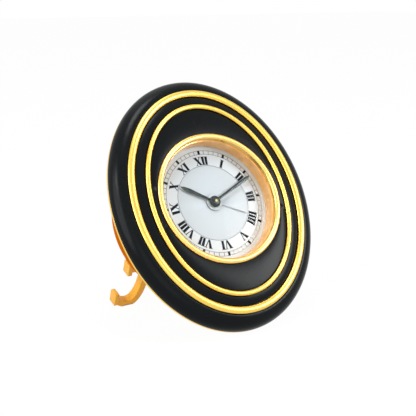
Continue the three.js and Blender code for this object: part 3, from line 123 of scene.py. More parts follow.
def closeGroup(group, results):
    for label in results:
        kind = "NodeSocketColor" if label == "Color" else "NodeSocketFloat"
        group.interface.new_socket(label, in_out="OUTPUT", socket_type=kind)
    addNode(group, "NodeGroupOutput", results)
    return group


def useGroup(tree, group, values):
    return addNode(tree, "ShaderNodeGroup", values, node_tree=group).outputs


def mathNode(tree, operation, first, second, clamp=False):
    made = addNode(tree, "ShaderNodeMath", {0: first, 1: second}, operation=operation, use_clamp=clamp)
    return made.outputs[0]


def largest(tree, values):
    result = values[0]
    for value in values[1:]:
        result = mathNode(tree, "MAXIMUM", result, value)
    return result


def rangeNode(tree, value, *limits):
    # limits are the low and high that it comes from, then those that it goes to, or else 0 and 1
    return addNode(tree, "ShaderNodeMapRange", dict(enumerate((value, *limits)))).outputs[0]


def noiseNode(tree, place, scale, detail, roughness=0.5):
    return addNode(tree, "ShaderNodeTexNoise", {"Vector": place, "Scale": scale, "Detail": detail,
                                                "Roughness": roughness}).outputs[0]


def colourMix(tree, factor, first, second):
    return addNode(tree, "ShaderNodeMix", {0: factor, 6: first, 7: second}, data_type="RGBA").outputs[2]


def objectPlace(tree):
    return addNode(tree, "ShaderNodeTexCoord").outputs["Object"]


def rayIs(tree, *kinds):
    # 1 for a ray of one of these kinds, else 0
    path = addNode(tree, "ShaderNodeLightPath").outputs
    return largest(tree, [path[f"Is {kind} Ray"] for kind in kinds])


scratchPattern = {
    "turns": (0.35, 1.4, 2.5), "axis": (0.3, 0.8, 0.5), "lineScale": 130.0, "lineDetail": 3.0, "thin": (0.63, 0.7),
    "patchScale": 90.0, "patchDetail": 2.0, "patches": (0.45, 0.7)}
rubPattern = {"scale": 900.0, "detail": 4.0, "noise": (0.3, 0.7), "lift": (-0.02, 0.02)}
dustPattern = {
    "facing": (-0.1, 1.0, 0.15, 1.0), "speckDetail": 2.0, "specks": (0.5, 0.75), "driftScale": 60.0,
    "driftDetail": 3.0, "drifts": (0.35, 0.7, 0.3, 1.0)}
tonePattern = {"detail": 5.0, "roughness": 0.6, "middle": 0.5, "gain": 4.0}
grainPattern = {"scale": 6.0, "detail": 4.0}


def makeFineScratches(s):
    # hairlines of handling: long thin noise, broken up by a wider noise
    group, given = openGroup("fineScratches", {"Density": 1.0, "Stretch": 14.0})
    place = objectPlace(group)
    hairlines = []
    for turn in s["turns"]:
        turned = addNode(group, "ShaderNodeVectorRotate", {"Vector": place, "Angle": turn, "Axis": s["axis"]},
                         rotation_type="AXIS_ANGLE")
        stretch = addNode(group, "ShaderNodeCombineXYZ", {"X": 1.0, "Y": given["Stretch"], "Z": given["Stretch"]})
        scaled = addNode(group, "ShaderNodeVectorMath", {0: turned.outputs[0], 1: stretch.outputs[0]},
                         operation="MULTIPLY")
        lineScale = mathNode(group, "MULTIPLY", given["Density"], s["lineScale"])
        lines = noiseNode(group, scaled.outputs[0], lineScale, s["lineDetail"])
        hairlines.append(rangeNode(group, lines, *s["thin"]))
    patches = noiseNode(group, place, s["patchScale"], s["patchDetail"])
    mask = mathNode(group, "MULTIPLY", largest(group, hairlines), rangeNode(group, patches, *s["patches"]),
                    clamp=True)
    return closeGroup(group, {"Height": mathNode(group, "SUBTRACT", 1.0, mask), "Mask": mask})


def makeEdgeRub(s):
    # worn outer edges, from the mesh's own sharpness and broken up by noise
    group, given = openGroup("edgeRub", {"Threshold": 0.53, "Spread": 0.06})
    sharpness = addNode(group, "ShaderNodeNewGeometry").outputs["Pointiness"]
    breakUp = noiseNode(group, objectPlace(group), s["scale"], s["detail"])
    lifted = mathNode(group, "ADD", sharpness, rangeNode(group, breakUp, *s["noise"], *s["lift"]))
    full = mathNode(group, "ADD", given["Threshold"], given["Spread"])
    return closeGroup(group, {"Mask": rangeNode(group, lifted, given["Threshold"], full)})


def makeSettledDust(s):
    # fine specks that lie thicker on what faces up
    group, given = openGroup("settledDust", {"Amount": 0.1, "Speck Scale": 2500.0})
    normal = addNode(group, "ShaderNodeNewGeometry").outputs["Normal"]
    facing = rangeNode(group, addNode(group, "ShaderNodeSeparateXYZ", {0: normal}).outputs["Z"], *s["facing"])
    place = objectPlace(group)
    specks = rangeNode(group, noiseNode(group, place, given["Speck Scale"], s["speckDetail"]), *s["specks"])
    drifts = rangeNode(group, noiseNode(group, place, s["driftScale"], s["driftDetail"]), *s["drifts"])
    lying = mathNode(group, "MULTIPLY", mathNode(group, "MULTIPLY", specks, drifts), facing)
    return closeGroup(group, {"Mask": mathNode(group, "MULTIPLY", lying, given["Amount"], clamp=True)})


def makeToneDrift(s):
    # slow change of tone over a surface, from one colour to another
    group, given = openGroup("toneDrift", {"First": white, "Second": white, "Scale": 40.0, "Contrast": 0.5})
    cloud = noiseNode(group, objectPlace(group), given["Scale"], s["detail"], s["roughness"])
    spread = mathNode(group, "MULTIPLY", mathNode(group, "SUBTRACT", cloud, s["middle"]), given["Contrast"])
    mask = mathNode(group, "ADD", mathNode(group, "MULTIPLY", spread, s["gain"]), s["middle"], clamp=True)
    return closeGroup(group, {"Color": colourMix(group, mask, given["First"], given["Second"]), "Mask": mask})


def dialPlace(group):
    # a surface point's distance from the hand axis, its level and its turn, in metres and radians
    centred = addNode(group, "ShaderNodeVectorMath", {0: objectPlace(group), 1: tuple(handAxis)},
                      operation="SUBTRACT")
    level = addNode(group, "ShaderNodeVectorRotate",
                    {"Vector": centred.outputs[0], "Axis": (1, 0, 0), "Angle": -dialTilt}, rotation_type="AXIS_ANGLE")
    parts = addNode(group, "ShaderNodeSeparateXYZ", {0: level.outputs[0]}).outputs
    flat = addNode(group, "ShaderNodeCombineXYZ", {"X": parts["X"], "Y": parts["Y"]})
    radius = addNode(group, "ShaderNodeVectorMath", {0: flat.outputs[0]}, operation="LENGTH").outputs["Value"]
    return radius, parts["Z"], mathNode(group, "ARCTAN2", parts["Y"], parts["X"])


def makeLatheGrain(s):
    # the fine rings that a lathe leaves round the hand axis
    group, given = openGroup("latheGrain", {"Rings": 900.0, "Wobble": 0.4})
    radius, level, turn = dialPlace(group)
    along = mathNode(group, "MULTIPLY", mathNode(group, "ADD", radius, level), given["Rings"])
    sweep = mathNode(group, "MULTIPLY", turn, given["Wobble"])
    ringPlace = addNode(group, "ShaderNodeCombineXYZ", {"X": along, "Y": sweep}).outputs[0]
    return closeGroup(group, {"Height": noiseNode(group, ringPlace, s["scale"], s["detail"])})


def makePaintedLightZone():
    # outside a circle round the hand axis, where a finish may take a painted lighter or darker tone that stands in
    # for light or shade
    group, given = openGroup("paintedLightZone", {"Radius": 0.0133})
    return closeGroup(group, {"Mask": mathNode(group, "GREATER_THAN", dialPlace(group)[0], given["Radius"])})


def makeOrangePeel():
    # the slight unevenness of sprayed or poured lacquer, and of cast and polished metal
    group, given = openGroup("orangePeel", {"Scale": 500.0})
    return closeGroup(group, {"Height": noiseNode(group, objectPlace(group), given["Scale"], 1.0)})


fineScratches = makeFineScratches(scratchPattern)
edgeRub = makeEdgeRub(rubPattern)
settledDust = makeSettledDust(dustPattern)
toneDrift = makeToneDrift(tonePattern)
latheGrain = makeLatheGrain(grainPattern)
paintedLightZone = makePaintedLightZone()
orangePeel = makeOrangePeel()


print("finishes")
# what a finish has unless its own settings say otherwise
plainFinish = {
    "metallic": 0.0, "specular": 0.5, "tint": (1, 1, 1), "coat": 0.0, "coatRoughness": 0.05, "toneScale": 40.0,
    "toneContrast": 0.5, "roughnessDrift": 1.25, "edgeFrom": 0.54, "edgeSpread": 0.08, "scratchDensity": 1.0,
    "scratchRoughness": 0.1, "scratchDepth": 0.04, "scratchDistance": 0.00005, "dust": 0.0,
    "dustColour": (0.55, 0.53, 0.5), "dustRoughness": 0.4, "peelScale": 500.0, "relief": 0.1,
    "reliefDistance": 0.0002}


def startMaterial(name):
    material = bpy.data.materials.new(name)
    material.use_nodes = True
    return material, material.node_tree, material.node_tree.nodes["Principled BSDF"]


def showEither(tree, factor, first, second):
    # the first shader where the factor is 0, the second where it is 1
    joined = addNode(tree, "ShaderNodeMixShader", {0: factor, 1: first.outputs[0], 2: second.outputs[0]})
    tree.links.new(joined.outputs[0], tree.nodes["Material Output"].inputs["Surface"])


def makeFinish(name, own):
    # one finish: drifting tone, scratches, worn edges, dust, and a fine surface relief, and where given a
    # painted-light tone outside a radius round the hand axis
    s = {**plainFinish, **own}
    material, tree, shader = startMaterial(name)
    tone = useGroup(tree, toneDrift, {"First": (*s["colour"], 1), "Second": (*s["shade"], 1),
                                      "Scale": s["toneScale"], "Contrast": s["toneContrast"]})
    colour = tone["Color"]
    # outside the radius a painted tone stands in for light or shade: painted light on the dial's outer ring, painted
    # shadow on the disc's rim
    if "outerPaintedLight" in s:
        paintedLightMask = useGroup(tree, paintedLightZone, {"Radius": s["zoneRadius"]})["Mask"]
        colour = colourMix(tree, paintedLightMask, colour, (*s["outerPaintedLight"], 1))
    if "edgeColour" in s:
        rub = useGroup(tree, edgeRub, {"Threshold": s["edgeFrom"], "Spread": s["edgeSpread"]})["Mask"]
        colour = colourMix(tree, rub, colour, (*s["edgeColour"], 1))
    scratches = useGroup(tree, fineScratches, {"Density": s["scratchDensity"]})
    drifting = rangeNode(tree, tone["Mask"], 0, 1, s["roughness"], s["roughness"] * s["roughnessDrift"])
    scratched = mathNode(tree, "MULTIPLY", scratches["Mask"], s["scratchRoughness"])
    roughness = mathNode(tree, "ADD", drifting, scratched)
    if s["dust"]:
        dust = useGroup(tree, settledDust, {"Amount": s["dust"]})["Mask"]
        colour = colourMix(tree, dust, colour, (*s["dustColour"], 1))
        dusty = mathNode(tree, "MULTIPLY", dust, s["dustRoughness"])
        roughness = mathNode(tree, "ADD", roughness, dusty, clamp=True)
    tree.links.new(colour, shader.inputs["Base Color"])
    tree.links.new(roughness, shader.inputs["Roughness"])
    shader.inputs["Specular Tint"].default_value = (*s["tint"], 1)
    for socket, key in (("Metallic", "metallic"), ("Specular IOR Level", "specular"), ("Coat Weight", "coat"),
                        ("Coat Roughness", "coatRoughness")):
        shader.inputs[socket].default_value = s[key]
    relief = (useGroup(tree, latheGrain, {"Rings": s["rings"]}) if "rings" in s
              else useGroup(tree, orangePeel, {"Scale": s["peelScale"]}))
    first = addNode(tree, "ShaderNodeBump", {"Height": relief["Height"], "Strength": s["relief"],
                                             "Distance": s["reliefDistance"]})
    second = addNode(tree, "ShaderNodeBump", {"Height": scratches["Height"], "Strength": s["scratchDepth"],
                                              "Distance": s["scratchDistance"], "Normal": first.outputs[0]})
    tree.links.new(second.outputs[0], shader.inputs["Normal"])
    return material


blackLacquer = makeFinish("blackLacquer", {
    "colour": (0.0028, 0.0042, 0.005), "shade": (0.0045, 0.0062, 0.007), "roughness": 0.2, "specular": 0.1,
    "edgeColour": (0.02, 0.02, 0.02), "edgeFrom": 0.6, "scratchRoughness": 0.08, "dust": 0.02, "relief": 0.04,
    "peelScale": 350.0})
polishedMetal = {
    "metallic": 1.0, "roughness": 0.23, "edgeFrom": 0.62, "coat": 0.1, "relief": 0.015, "toneScale": 55.0,
    "toneContrast": 0.3, "scratchDepth": 0.015, "dust": 0.01}
polishedGilt = makeFinish("polishedGilt", {
    **polishedMetal, "colour": (0.95, 0.65, 0.14), "shade": (0.9, 0.57, 0.105), "edgeColour": (0.97, 0.76, 0.28)})
paleGilt = makeFinish("paleGilt", {
    **polishedMetal, "colour": (0.98, 0.66, 0.21), "shade": (0.95, 0.58, 0.15), "edgeColour": (0.98, 0.75, 0.36)})
warmGilt = makeFinish("warmGilt", {
    "colour": (1.0, 0.54, 0.075), "shade": (0.93, 0.44, 0.04), "metallic": 0.3, "roughness": 0.3,
    "tint": (1, 0.6, 0.25), "edgeColour": (1.0, 0.66, 0.2), "relief": 0.12, "toneScale": 70.0, "toneContrast": 0.4,
    "dust": 0.02})
turnedGilt = makeFinish("turnedGilt", {
    "colour": (0.62, 0.16, 0.008), "shade": (0.54, 0.13, 0.005), "metallic": 1.0, "roughness": 0.3, "rings": 900.0,
    "specular": 0.35, "tint": (1, 0.55, 0.2), "edgeColour": (0.85, 0.4, 0.08), "edgeFrom": 0.6, "relief": 0.02,
    "toneScale": 20.0, "toneContrast": 0.1, "scratchDepth": 0.02, "dust": 0.01})
peachReflector = makeFinish("peachReflector", {
    "colour": (1.0, 0.62, 0.28), "shade": (0.84, 0.45, 0.15), "metallic": 0.45, "roughness": 0.28,
    "toneScale": 160.0, "toneContrast": 0.9, "relief": 0.25})
# the dial's outer ring is painted lighter than its centre: painted light that offsets the shade the reflector wall
# and bezel cast on it
dialEnamel = makeFinish("dialEnamel", {
    "colour": (0.565, 0.635, 0.68), "shade": (0.545, 0.615, 0.665), "roughness": 0.42, "toneScale": 400.0,
    "outerPaintedLight": (0.67, 0.75, 0.81), "zoneRadius": 0.0133, "toneContrast": 0.3, "relief": 0.1, "peelScale": 900.0,
    "scratchRoughness": 0.0, "scratchDepth": 0.0})
dialInk = makeFinish("dialInk", {
    "colour": (0.006, 0.008, 0.014), "shade": (0.012, 0.015, 0.024), "roughness": 0.5, "specular": 0.1,
    "relief": 0.05})
handEnamel = makeFinish("handEnamel", {
    "colour": (0.02, 0.034, 0.036), "shade": (0.032, 0.046, 0.047), "roughness": 0.26, "metallic": 0.2,
    "specular": 0.28, "edgeColour": (0.1, 0.11, 0.1), "edgeFrom": 0.56, "relief": 0.04})
paleWire = makeFinish("paleWire", {
    "colour": (0.36, 0.4, 0.42), "shade": (0.3, 0.34, 0.36), "roughness": 0.35, "metallic": 0.2, "relief": 0.03})
# the disc's outer rim and side wall are painted near black: painted shadow along its edge
paleDisc = makeFinish("paleDisc", {
    "colour": (0.62, 0.68, 0.71), "shade": (0.56, 0.62, 0.66), "roughness": 0.4, "relief": 0.03, "toneScale": 300.0,
    "outerPaintedLight": (0.04, 0.043, 0.045), "zoneRadius": 0.0029})
polishedSteel = makeFinish("polishedSteel", {
    "colour": (0.56, 0.56, 0.57), "shade": (0.48, 0.49, 0.5), "roughness": 0.22, "metallic": 1.0,
    "edgeColour": (0.75, 0.75, 0.76), "relief": 0.05})
movementBrass = makeFinish("movementBrass", {
    "colour": (0.42, 0.31, 0.13), "shade": (0.35, 0.25, 0.1), "roughness": 0.62, "metallic": 1.0,
    "edgeColour": (0.6, 0.46, 0.22)})
bluedSpring = makeFinish("bluedSpring", {
    "colour": (0.03, 0.05, 0.16), "shade": (0.05, 0.04, 0.13), "roughness": 0.25, "metallic": 1.0, "relief": 0.05})
crystalGlass = {"ior": 1.08, "scratchDensity": 0.8, "scratchRoughness": 0.0005}


def makeCrystalClear(s):
    # clear cover glass, which lets light through to the dial
    material, tree, shader = startMaterial("crystalClear")
    shader.inputs["Base Color"].default_value = white
    shader.inputs["Transmission Weight"].default_value = 1.0
    shader.inputs["IOR"].default_value = s["ior"]
    scratches = useGroup(tree, fineScratches, {"Density": s["scratchDensity"]})["Mask"]
    tree.links.new(rangeNode(tree, scratches, 0, 1, 0.0, s["scratchRoughness"]), shader.inputs["Roughness"])
    passing = addNode(tree, "ShaderNodeBsdfTransparent")
    showEither(tree, rayIs(tree, "Shadow", "Diffuse"), shader, passing)
    return material


crystalClear = makeCrystalClear(crystalGlass)


print("shape tools")
weldDistance = 1e-4
axisGap = 1e-4  # a turned end starts this far off its axis and is closed by a tiny cap
cornerShare = 0.45  # the most of a side that a rounded corner may take


def meshFromParts(name, parts):
    # parts are (vertices, faces) pairs; each is a closed shell of its own
    build = bmesh.new()
    for vertices, faces in parts:
        made = [build.verts.new(v) for v in vertices]
        for face in faces:
            build.faces.new([made[i] for i in face])
    bmesh.ops.recalc_face_normals(build, faces=build.faces)
    mesh = bpy.data.meshes.new(name)
    build.to_mesh(mesh)
    build.free()
    return mesh


def finishPiece(name, shape, material, body, nodes, place=clockFrame, sharpAngle=35, at=(0, 0)):
    # closed shells or a mesh, drawn in millimetres, become a piece on its body, in place of CAD nodes
    mesh = shape if isinstance(shape, bpy.types.Mesh) else meshFromParts(name, shape)
    mesh.transform(Matrix.Translation((*at, 0)))
    mesh.transform(place)
    mesh.polygons.foreach_set("use_smooth", [True] * len(mesh.polygons))
    mesh.set_sharp_from_angle(angle=radians(sharpAngle))
    mesh.materials.clear()
    mesh.materials.append(material)
    mesh.update()
    piece = addObject(name, mesh)
    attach(piece, body)
    if nodes:
        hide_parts(*nodes)
    return piece


def spaced(first, last, steps):
    return [first + (last - first) * i / steps for i in range(steps + 1)]


def polar(radius, angle, centre=(0, 0)):
    return centre[0] + radius * cos(angle), centre[1] + radius * sin(angle)


def ring(radius, sides, centre=(0, 0)):
    return [polar(radius, 2 * pi * i / sides, centre) for i in range(sides)]


def clockwise(radius, degrees):
    # a place on the dial, counted clockwise from the top
    return radius * sin(radians(degrees)), radius * cos(radians(degrees))


def oblong(left, right, low, high):
    return [(left, low), (right, low), (right, high), (left, high)]


def softened(points, radius, steps=3, closed=True, size=2):
    # rounds the corners of a profile; a point may carry its own radius as an extra last item
    count = len(points)
    result = []
    for i, point in enumerate(points):
        here = Vector(point[:size])
        reach = point[size] if len(point) > size else radius
        if reach <= 0 or (not closed and i in (0, count - 1)):
            result.append(here)
            continue
        sides = (Vector(points[n % count][:size]) - here for n in (i - 1, i + 1))
        start, end = (here + side.normalized() * min(reach, side.length * cornerShare) for side in sides)
        for t in spaced(0, 1, steps):
            result.append(start * (1 - t) ** 2 + here * 2 * t * (1 - t) + end * t * t)
    return result


def loftPart(sections, looped=False, closed=True):
    # sections of equal count joined one to the next, with flat caps where the row or the section is open
    count, rows = len(sections), len(sections[0])
    vertices = [point for section in sections for point in section]
    faces = []
    for i in range(count if looped else count - 1):
        j = (i + 1) % count
        for k in range(rows if closed else rows - 1):
            n = (k + 1) % rows
            faces.append((i * rows + k, i * rows + n, j * rows + n, j * rows + k))
    if not looped:
        faces += [range(rows), range(len(vertices) - rows, len(vertices))]
    if not closed:
        faces += [[i * rows + k for i in range(count)] for k in (0, rows - 1)]
    return vertices, faces


def ovalShell(section, sides, closed=True):
    # a section of (half width, half height, level) points swept round
    return loftPart([[(width * cos(angle), height * sin(angle), level) for width, height, level in section]
                     for angle in spaced(0, 2 * pi, sides)[:-1]], True, closed)


def turnedShell(profile, sides, closed=True):
    # a lathe-turned shell of (radius, level) points; an open profile ends on the axis
    least = 0.0 if closed else axisGap
    return ovalShell([(max(r, least), max(r, least), z) for r, z in profile], sides, closed)


def moved(part, offset=(0, 0, 0), turn=0.0):
    matrix = Matrix.Translation(offset) @ Matrix.Rotation(turn, 4, "Z")
    return [matrix @ Vector(v) for v in part[0]], part[1]


def smoothLoop(points, steps):
    # a closed curve through points
    result = []
    count = len(points)
    for i in range(count):
        a, b, c, d = (Vector(points[(i + k) % count]) for k in (-1, 0, 1, 2))
        for t in spaced(0, 1, steps)[:-1]:
            result.append(0.5 * ((2 * b) + (c - a) * t + (2 * a - 5 * b + 4 * c - d) * t * t
                                 + (3 * b - a - 3 * c + d) * t ** 3))
    return result


def plateMesh(name, outlines, low, high, edge, edgeSteps=2):
    # a flat plate from closed outlines, the inner ones being holes, with softened edges
    curve = bpy.data.curves.new(name, "CURVE")
    curve.dimensions, curve.fill_mode = "2D", "BOTH"
    curve.extrude = (high - low) / 2 - edge
    curve.bevel_depth, curve.bevel_resolution, curve.offset = edge, edgeSteps, -edge
    for outline in outlines:
        spline = curve.splines.new("POLY")
        spline.points.add(len(outline) - 1)
        for point, (x, y) in zip(spline.points, outline):
            point.co = (x, y, 0, 1)
        spline.use_cyclic_u = True
    holder = addObject(name, curve)
    bpy.context.view_layer.update()
    mesh = bpy.data.meshes.new_from_object(holder.evaluated_get(bpy.context.evaluated_depsgraph_get()))
    bpy.data.objects.remove(holder)
    bpy.data.curves.remove(curve)
    mesh.transform(Matrix.Translation((0, 0, (low + high) / 2)))
    build = bmesh.new()
    build.from_mesh(mesh)
    bmesh.ops.remove_doubles(build, verts=build.verts, dist=weldDistance)
    bmesh.ops.recalc_face_normals(build, faces=build.faces)
    build.to_mesh(mesh)
    build.free()
    return mesh


def partOf(mesh):
    return [v.co.copy() for v in mesh.vertices], [tuple(f.vertices) for f in mesh.polygons]


def blockPart(width, height, depth, centre, edge):
    # a bar or block with softened edges
    build = bmesh.new()
    bmesh.ops.create_cube(build, size=1.0)
    bmesh.ops.scale(build, vec=(width, height, depth), verts=build.verts)
    bmesh.ops.bevel(build, geom=build.edges[:], offset=edge, segments=3, profile=0.5, affect="EDGES")
    bmesh.ops.translate(build, vec=centre, verts=build.verts)
    part = [v.co.copy() for v in build.verts], [tuple(v.index for v in f.verts) for f in build.faces]
    build.free()
    return part


print("front frame and rings")
frontShell = {
    "half": (37.28, 44.46), "rimDepth": 6.2, "wall": 1.6, "hole": 22.0, "field": -0.9,
    "outerField": -1.55, "grooveDepth": 0.8, "grooveGap": 0.22, "softness": 0.22, "rollSteps": 16, "rollStart": 2,
    "sides": 192}
outerRingSize = {
    "half": (32.35, 39.6), "band": 2.5, "crest": -0.7, "rise": 0.85, "foot": -2.25, "steps": 14,
    "sides": 192}
innerRingSize = {
    "half": (26.5, 33.95), "band": 1.72, "crest": 0.0, "rise": 0.85, "foot": -1.55, "steps": 14,
    "sides": 192}


def grooveFor(size, level, s):
    (a, b), band, gap = size["half"], size["band"], s["grooveGap"]
    inner, outer = (a - band - gap, b - band - gap), (a + gap, b + gap)
    floor = level - s["grooveDepth"]
    return [(*inner, level), (*inner, floor, 0.0), (*outer, floor, 0.0), (*outer, level)]


def makeFrontFrame(s):
    # a point's fourth item is its own softness, so 0.0 keeps a corner sharp
    (a, b), (outerA, outerB), wall, hole = outerRingSize["half"], s["half"], s["wall"], s["hole"]
    field, outerField, back = s["field"], s["outerField"], -s["rimDepth"]
    roll = [(a + (outerA - a) * sin(t), b + (outerB - b) * sin(t),
             outerField - (outerField - back) * (1 - cos(t)), 0.0)
            for t in spaced(0, pi / 2, s["rollSteps"])[s["rollStart"]:]]
    section = [(hole, hole, field), *grooveFor(innerRingSize, field, s), *grooveFor(outerRingSize, outerField, s),
               *roll, (outerA - wall, outerB - wall, back, 0.0),
               (a + wall, b + wall, outerField - s["grooveDepth"] - wall, 0.0),
               (hole + wall, hole + wall, field - s["grooveDepth"] - wall, 0.0),
               (hole + wall, hole + wall, back, 0.0), (hole, hole, back, 0.0)]
    shell = ovalShell(softened(section, s["softness"], size=3), s["sides"])
    finishPiece("frontFrame", [shell], blackLacquer, "case", ["front_frame"])


def makeRing(name, node, s):
    # a half-round band, with short straight sides that go into its groove
    (a, b), band = s["half"], s["band"]
    crown = []
    for t in spaced(0, pi, s["steps"]):
        inset = band * (1 - cos(t)) / 2
        crown.append((a - inset, b - inset, s["crest"] - s["rise"] + s["rise"] * sin(t)))
    section = crown + [(a - band, b - band, s["foot"]), (a, b, s["foot"])]
    finishPiece(name, [ovalShell(section, s["sides"])], polishedGilt, "case", [node])


makeFrontFrame(frontShell)
makeRing("outerRing", "outer_ring", outerRingSize)
makeRing("innerRing", "inner_ring", innerRingSize)


print("bezel, crystal, reflector and dial")
bezelSize = {"radius": 23.0, "band": 2.0, "neck": 21.9, "seat": -0.8, "foot": -2.0, "steps": 16, "sides": 160}
crystalSize = {"radius": 20.98, "foot": -2.0, "edge": 0.04, "dome": 1.46, "steps": 28, "sides": 128}
reflectorSize = {
    "outer": 21.9, "ledge": 20.7, "window": 20.4, "top": -2.02, "bottom": -6.0, "softness": 0.12, "sides": 160}
dialSize = {
    "radius": 21.8, "face": -6.1, "back": -6.6, "edge": 0.05, "hole": 1.6, "sides": 160, "holeSides": 48,
    "footRadius": 0.5, "footEnd": -10.3, "footOffset": 19.5, "footDegrees": (60, 240), "footSides": 24}


def makeBezel(s):
    inner = s["radius"] - s["band"]
    crown = [(inner + s["band"] * (1 - cos(t)) / 2, s["seat"] * (1 - sin(t)))
             for t in spaced(0, pi, s["steps"])]
    profile = [(inner, s["foot"]), *crown, (s["neck"], s["seat"]), (s["neck"], s["foot"])]
    finishPiece("bezel", [turnedShell(profile, s["sides"])], paleGilt, "case", ["bezel"])


def makeCrystal(s):
    shoulder = s["foot"] + s["edge"]
    dome = [(s["radius"] * share, shoulder + s["dome"] * (1 - share * share)) for share in spaced(1, 0, s["steps"])]
    profile = [(0, s["foot"]), (s["radius"], s["foot"]), *dome]
    lens = turnedShell(profile, s["sides"], closed=False)
    finishPiece("crystal", [lens], crystalClear, "case", ["crystal"])


def makeReflector(s):
    profile = softened([(s["window"], s["bottom"]), (s["ledge"], s["top"]), (s["outer"], s["top"]),
                        (s["outer"], s["bottom"])], s["softness"])
    finishPiece("reflectorRing", [turnedShell(profile, s["sides"])], peachReflector, "case", ["reflector_ring"])


def makeDial(s):
    outlines = [ring(s["radius"], s["sides"]), ring(s["hole"], s["holeSides"])]
    plate = plateMesh("dialPlate", outlines, s["back"], s["face"], s["edge"])
    foot = turnedShell([(0, s["footEnd"]), (s["footRadius"], s["footEnd"]), (s["footRadius"], s["back"]),
                        (0, s["back"])], s["footSides"], closed=False)
    feet = [moved(foot, (*polar(s["footOffset"], radians(degrees)), 0)) for degrees in s["footDegrees"]]
    finishPiece("dialPlate", [partOf(plate), *feet], dialEnamel, "case", ["dial"])


makeBezel(bezelSize)
makeCrystal(crystalSize)
makeReflector(reflectorSize)
makeDial(dialSize)


print("dial printing")
printing = {
    "height": 0.03, "sink": 0.02, "trackInner": 17.5, "trackOuter": 18.8, "line": 0.11, "tick": 0.14,
    "hourMark": 0.85, "hourMarkReach": 0.1, "innerCircle": 13.3, "innerLine": 0.12, "sides": 240,
    "numeralInner": 13.6, "numeralOuter": 16.65}
glyphStrokes = {
    "I": [oblong(-0.15, 0.15, 0.03, 0.97), oblong(-0.2, 0.2, 0, 0.06), oblong(-0.2, 0.2, 0.94, 1)],
    "V": [[(-0.41, 0.97), (-0.1, 0.97), (0.12, 0), (-0.09, 0)],
          [(0.25, 0.97), (0.35, 0.97), (0.1, 0), (0.01, 0)],
          oblong(-0.48, -0.05, 0.94, 1), oblong(0.15, 0.46, 0.94, 1)],
    "X": [[(-0.41, 0.97), (-0.1, 0.97), (0.42, 0.03), (0.11, 0.03)],
          [(0.25, 0.97), (0.35, 0.97), (-0.26, 0.03), (-0.36, 0.03)],
          oblong(-0.47, -0.05, 0.94, 1), oblong(0.15, 0.45, 0.94, 1),
          oblong(-0.45, -0.15, 0, 0.06), oblong(0.05, 0.47, 0, 0.06)]}
glyphWidths = {"I": 0.4, "V": 0.88, "X": 0.9}
hourNumerals = ["XII", "I", "II", "III", "IIII", "V", "VI", "VII", "VIII", "IX", "X", "XI"]


def inkPrism(points, low, high):
    return loftPart([[(x, y, level) for x, y in points] for level in (low, high)])


def numeralParts(numeral, hour, s, low, high):
    # each stroke is bent round the dial, with its top outwards
    tall = s["numeralOuter"] - s["numeralInner"]
    middle = (s["numeralOuter"] + s["numeralInner"]) / 2
    parts, across = [], -sum(glyphWidths[letter] for letter in numeral) / 2
    for letter in numeral:
        across += glyphWidths[letter] / 2
        for stroke in glyphStrokes[letter]:
            points = [clockwise(s["numeralInner"] + y * tall,
                                30 * hour + math.degrees((across + x) * tall / middle)) for x, y in stroke]
            parts.append(inkPrism(points, low, high))
        across += glyphWidths[letter] / 2
    return parts


def makePrinting(s):
    low, high = dialSize["face"] - s["sink"], dialSize["face"] + s["height"]
    parts = []
    for radius, width in ((s["trackInner"], s["line"]), (s["trackOuter"], s["line"]),
                          (s["innerCircle"], s["innerLine"])):
        parts.append(turnedShell(oblong(radius - width / 2, radius + width / 2, low, high), s["sides"]))
    for minute in range(60):
        onHour = minute % 5 == 0
        half = (s["hourMark"] if onHour else s["tick"]) / 2
        reach = s["hourMarkReach"] if onHour else 0.0
        corners = [clockwise(radius, 6 * minute + side * math.degrees(half / radius))
                   for radius, sides in ((s["trackInner"] - reach, (-1, 1)), (s["trackOuter"] + reach, (1, -1)))
                   for side in sides]
        parts.append(inkPrism(corners, low, high))
    for hour, numeral in enumerate(hourNumerals):
        parts += numeralParts(numeral, hour, s, low, high)
    finishPiece("dialPrinting", parts, dialInk, "case", [])


makePrinting(printing)


print("hands")
handSizes = {
    "hour": {"length": 13.2, "width": 1.5, "degrees": 302, "level": -5.4, "thickness": 0.22, "flank": 0.45,
             "hub": 1.9, "bore": 1.25, "softness": 0.06, "sides": 64,
             "stations": ((0.0, 0.65), (0.2, 0.6), (0.5, 0.8), (0.75, 1.0), (0.9, 0.7), (1.0, 0.05))},
    "minute": {"length": 17.6, "width": 1.4, "degrees": 67, "level": -4.9, "thickness": 0.22, "flank": 0.45,
               "stations": ((0.03, 0.72), (0.16, 0.72), (0.55, 0.84), (0.85, 1.0), (0.95, 0.85), (1.0, 0.35))},
    "alarm": {"length": 12.65, "width": 0.3, "degrees": 116, "level": -5.9, "thickness": 0.2, "hub": 2.96,
              "bore": 1.6, "softness": 0.07, "sides": 72, "bladeSoftness": 0.08, "rootShare": 0.8}}
hubSize = {"radius": 2.0, "height": 0.62, "bore": 0.42, "steps": 10, "sides": 64}
handSharpAngle = 20


def ridgedBlade(s):
    # a blade with a ridge down its middle, drawn up the dial and turned clockwise
    low, high = s["level"], s["level"] + s["thickness"]
    flank = low + s["thickness"] * s["flank"]
    sections = []
    for along, share in s["stations"]:
        half, y = s["width"] / 2 * share, s["length"] * along
        sections.append([(-half, y, low), (half, y, low), (half, y, flank), (0, y, high), (-half, y, flank)])
    return moved(loftPart(sections), turn=-radians(s["degrees"]))


def handDisc(s):
    profile = oblong(s["bore"], s["hub"], s["level"], s["level"] + s["thickness"])
    return turnedShell(softened(profile, s["softness"]), s["sides"])


def makeHourHand(s):
    finishPiece("hourHand", [ridgedBlade(s), handDisc(s)], handEnamel, "hour_work", ["hour_hand"],
                sharpAngle=handSharpAngle)


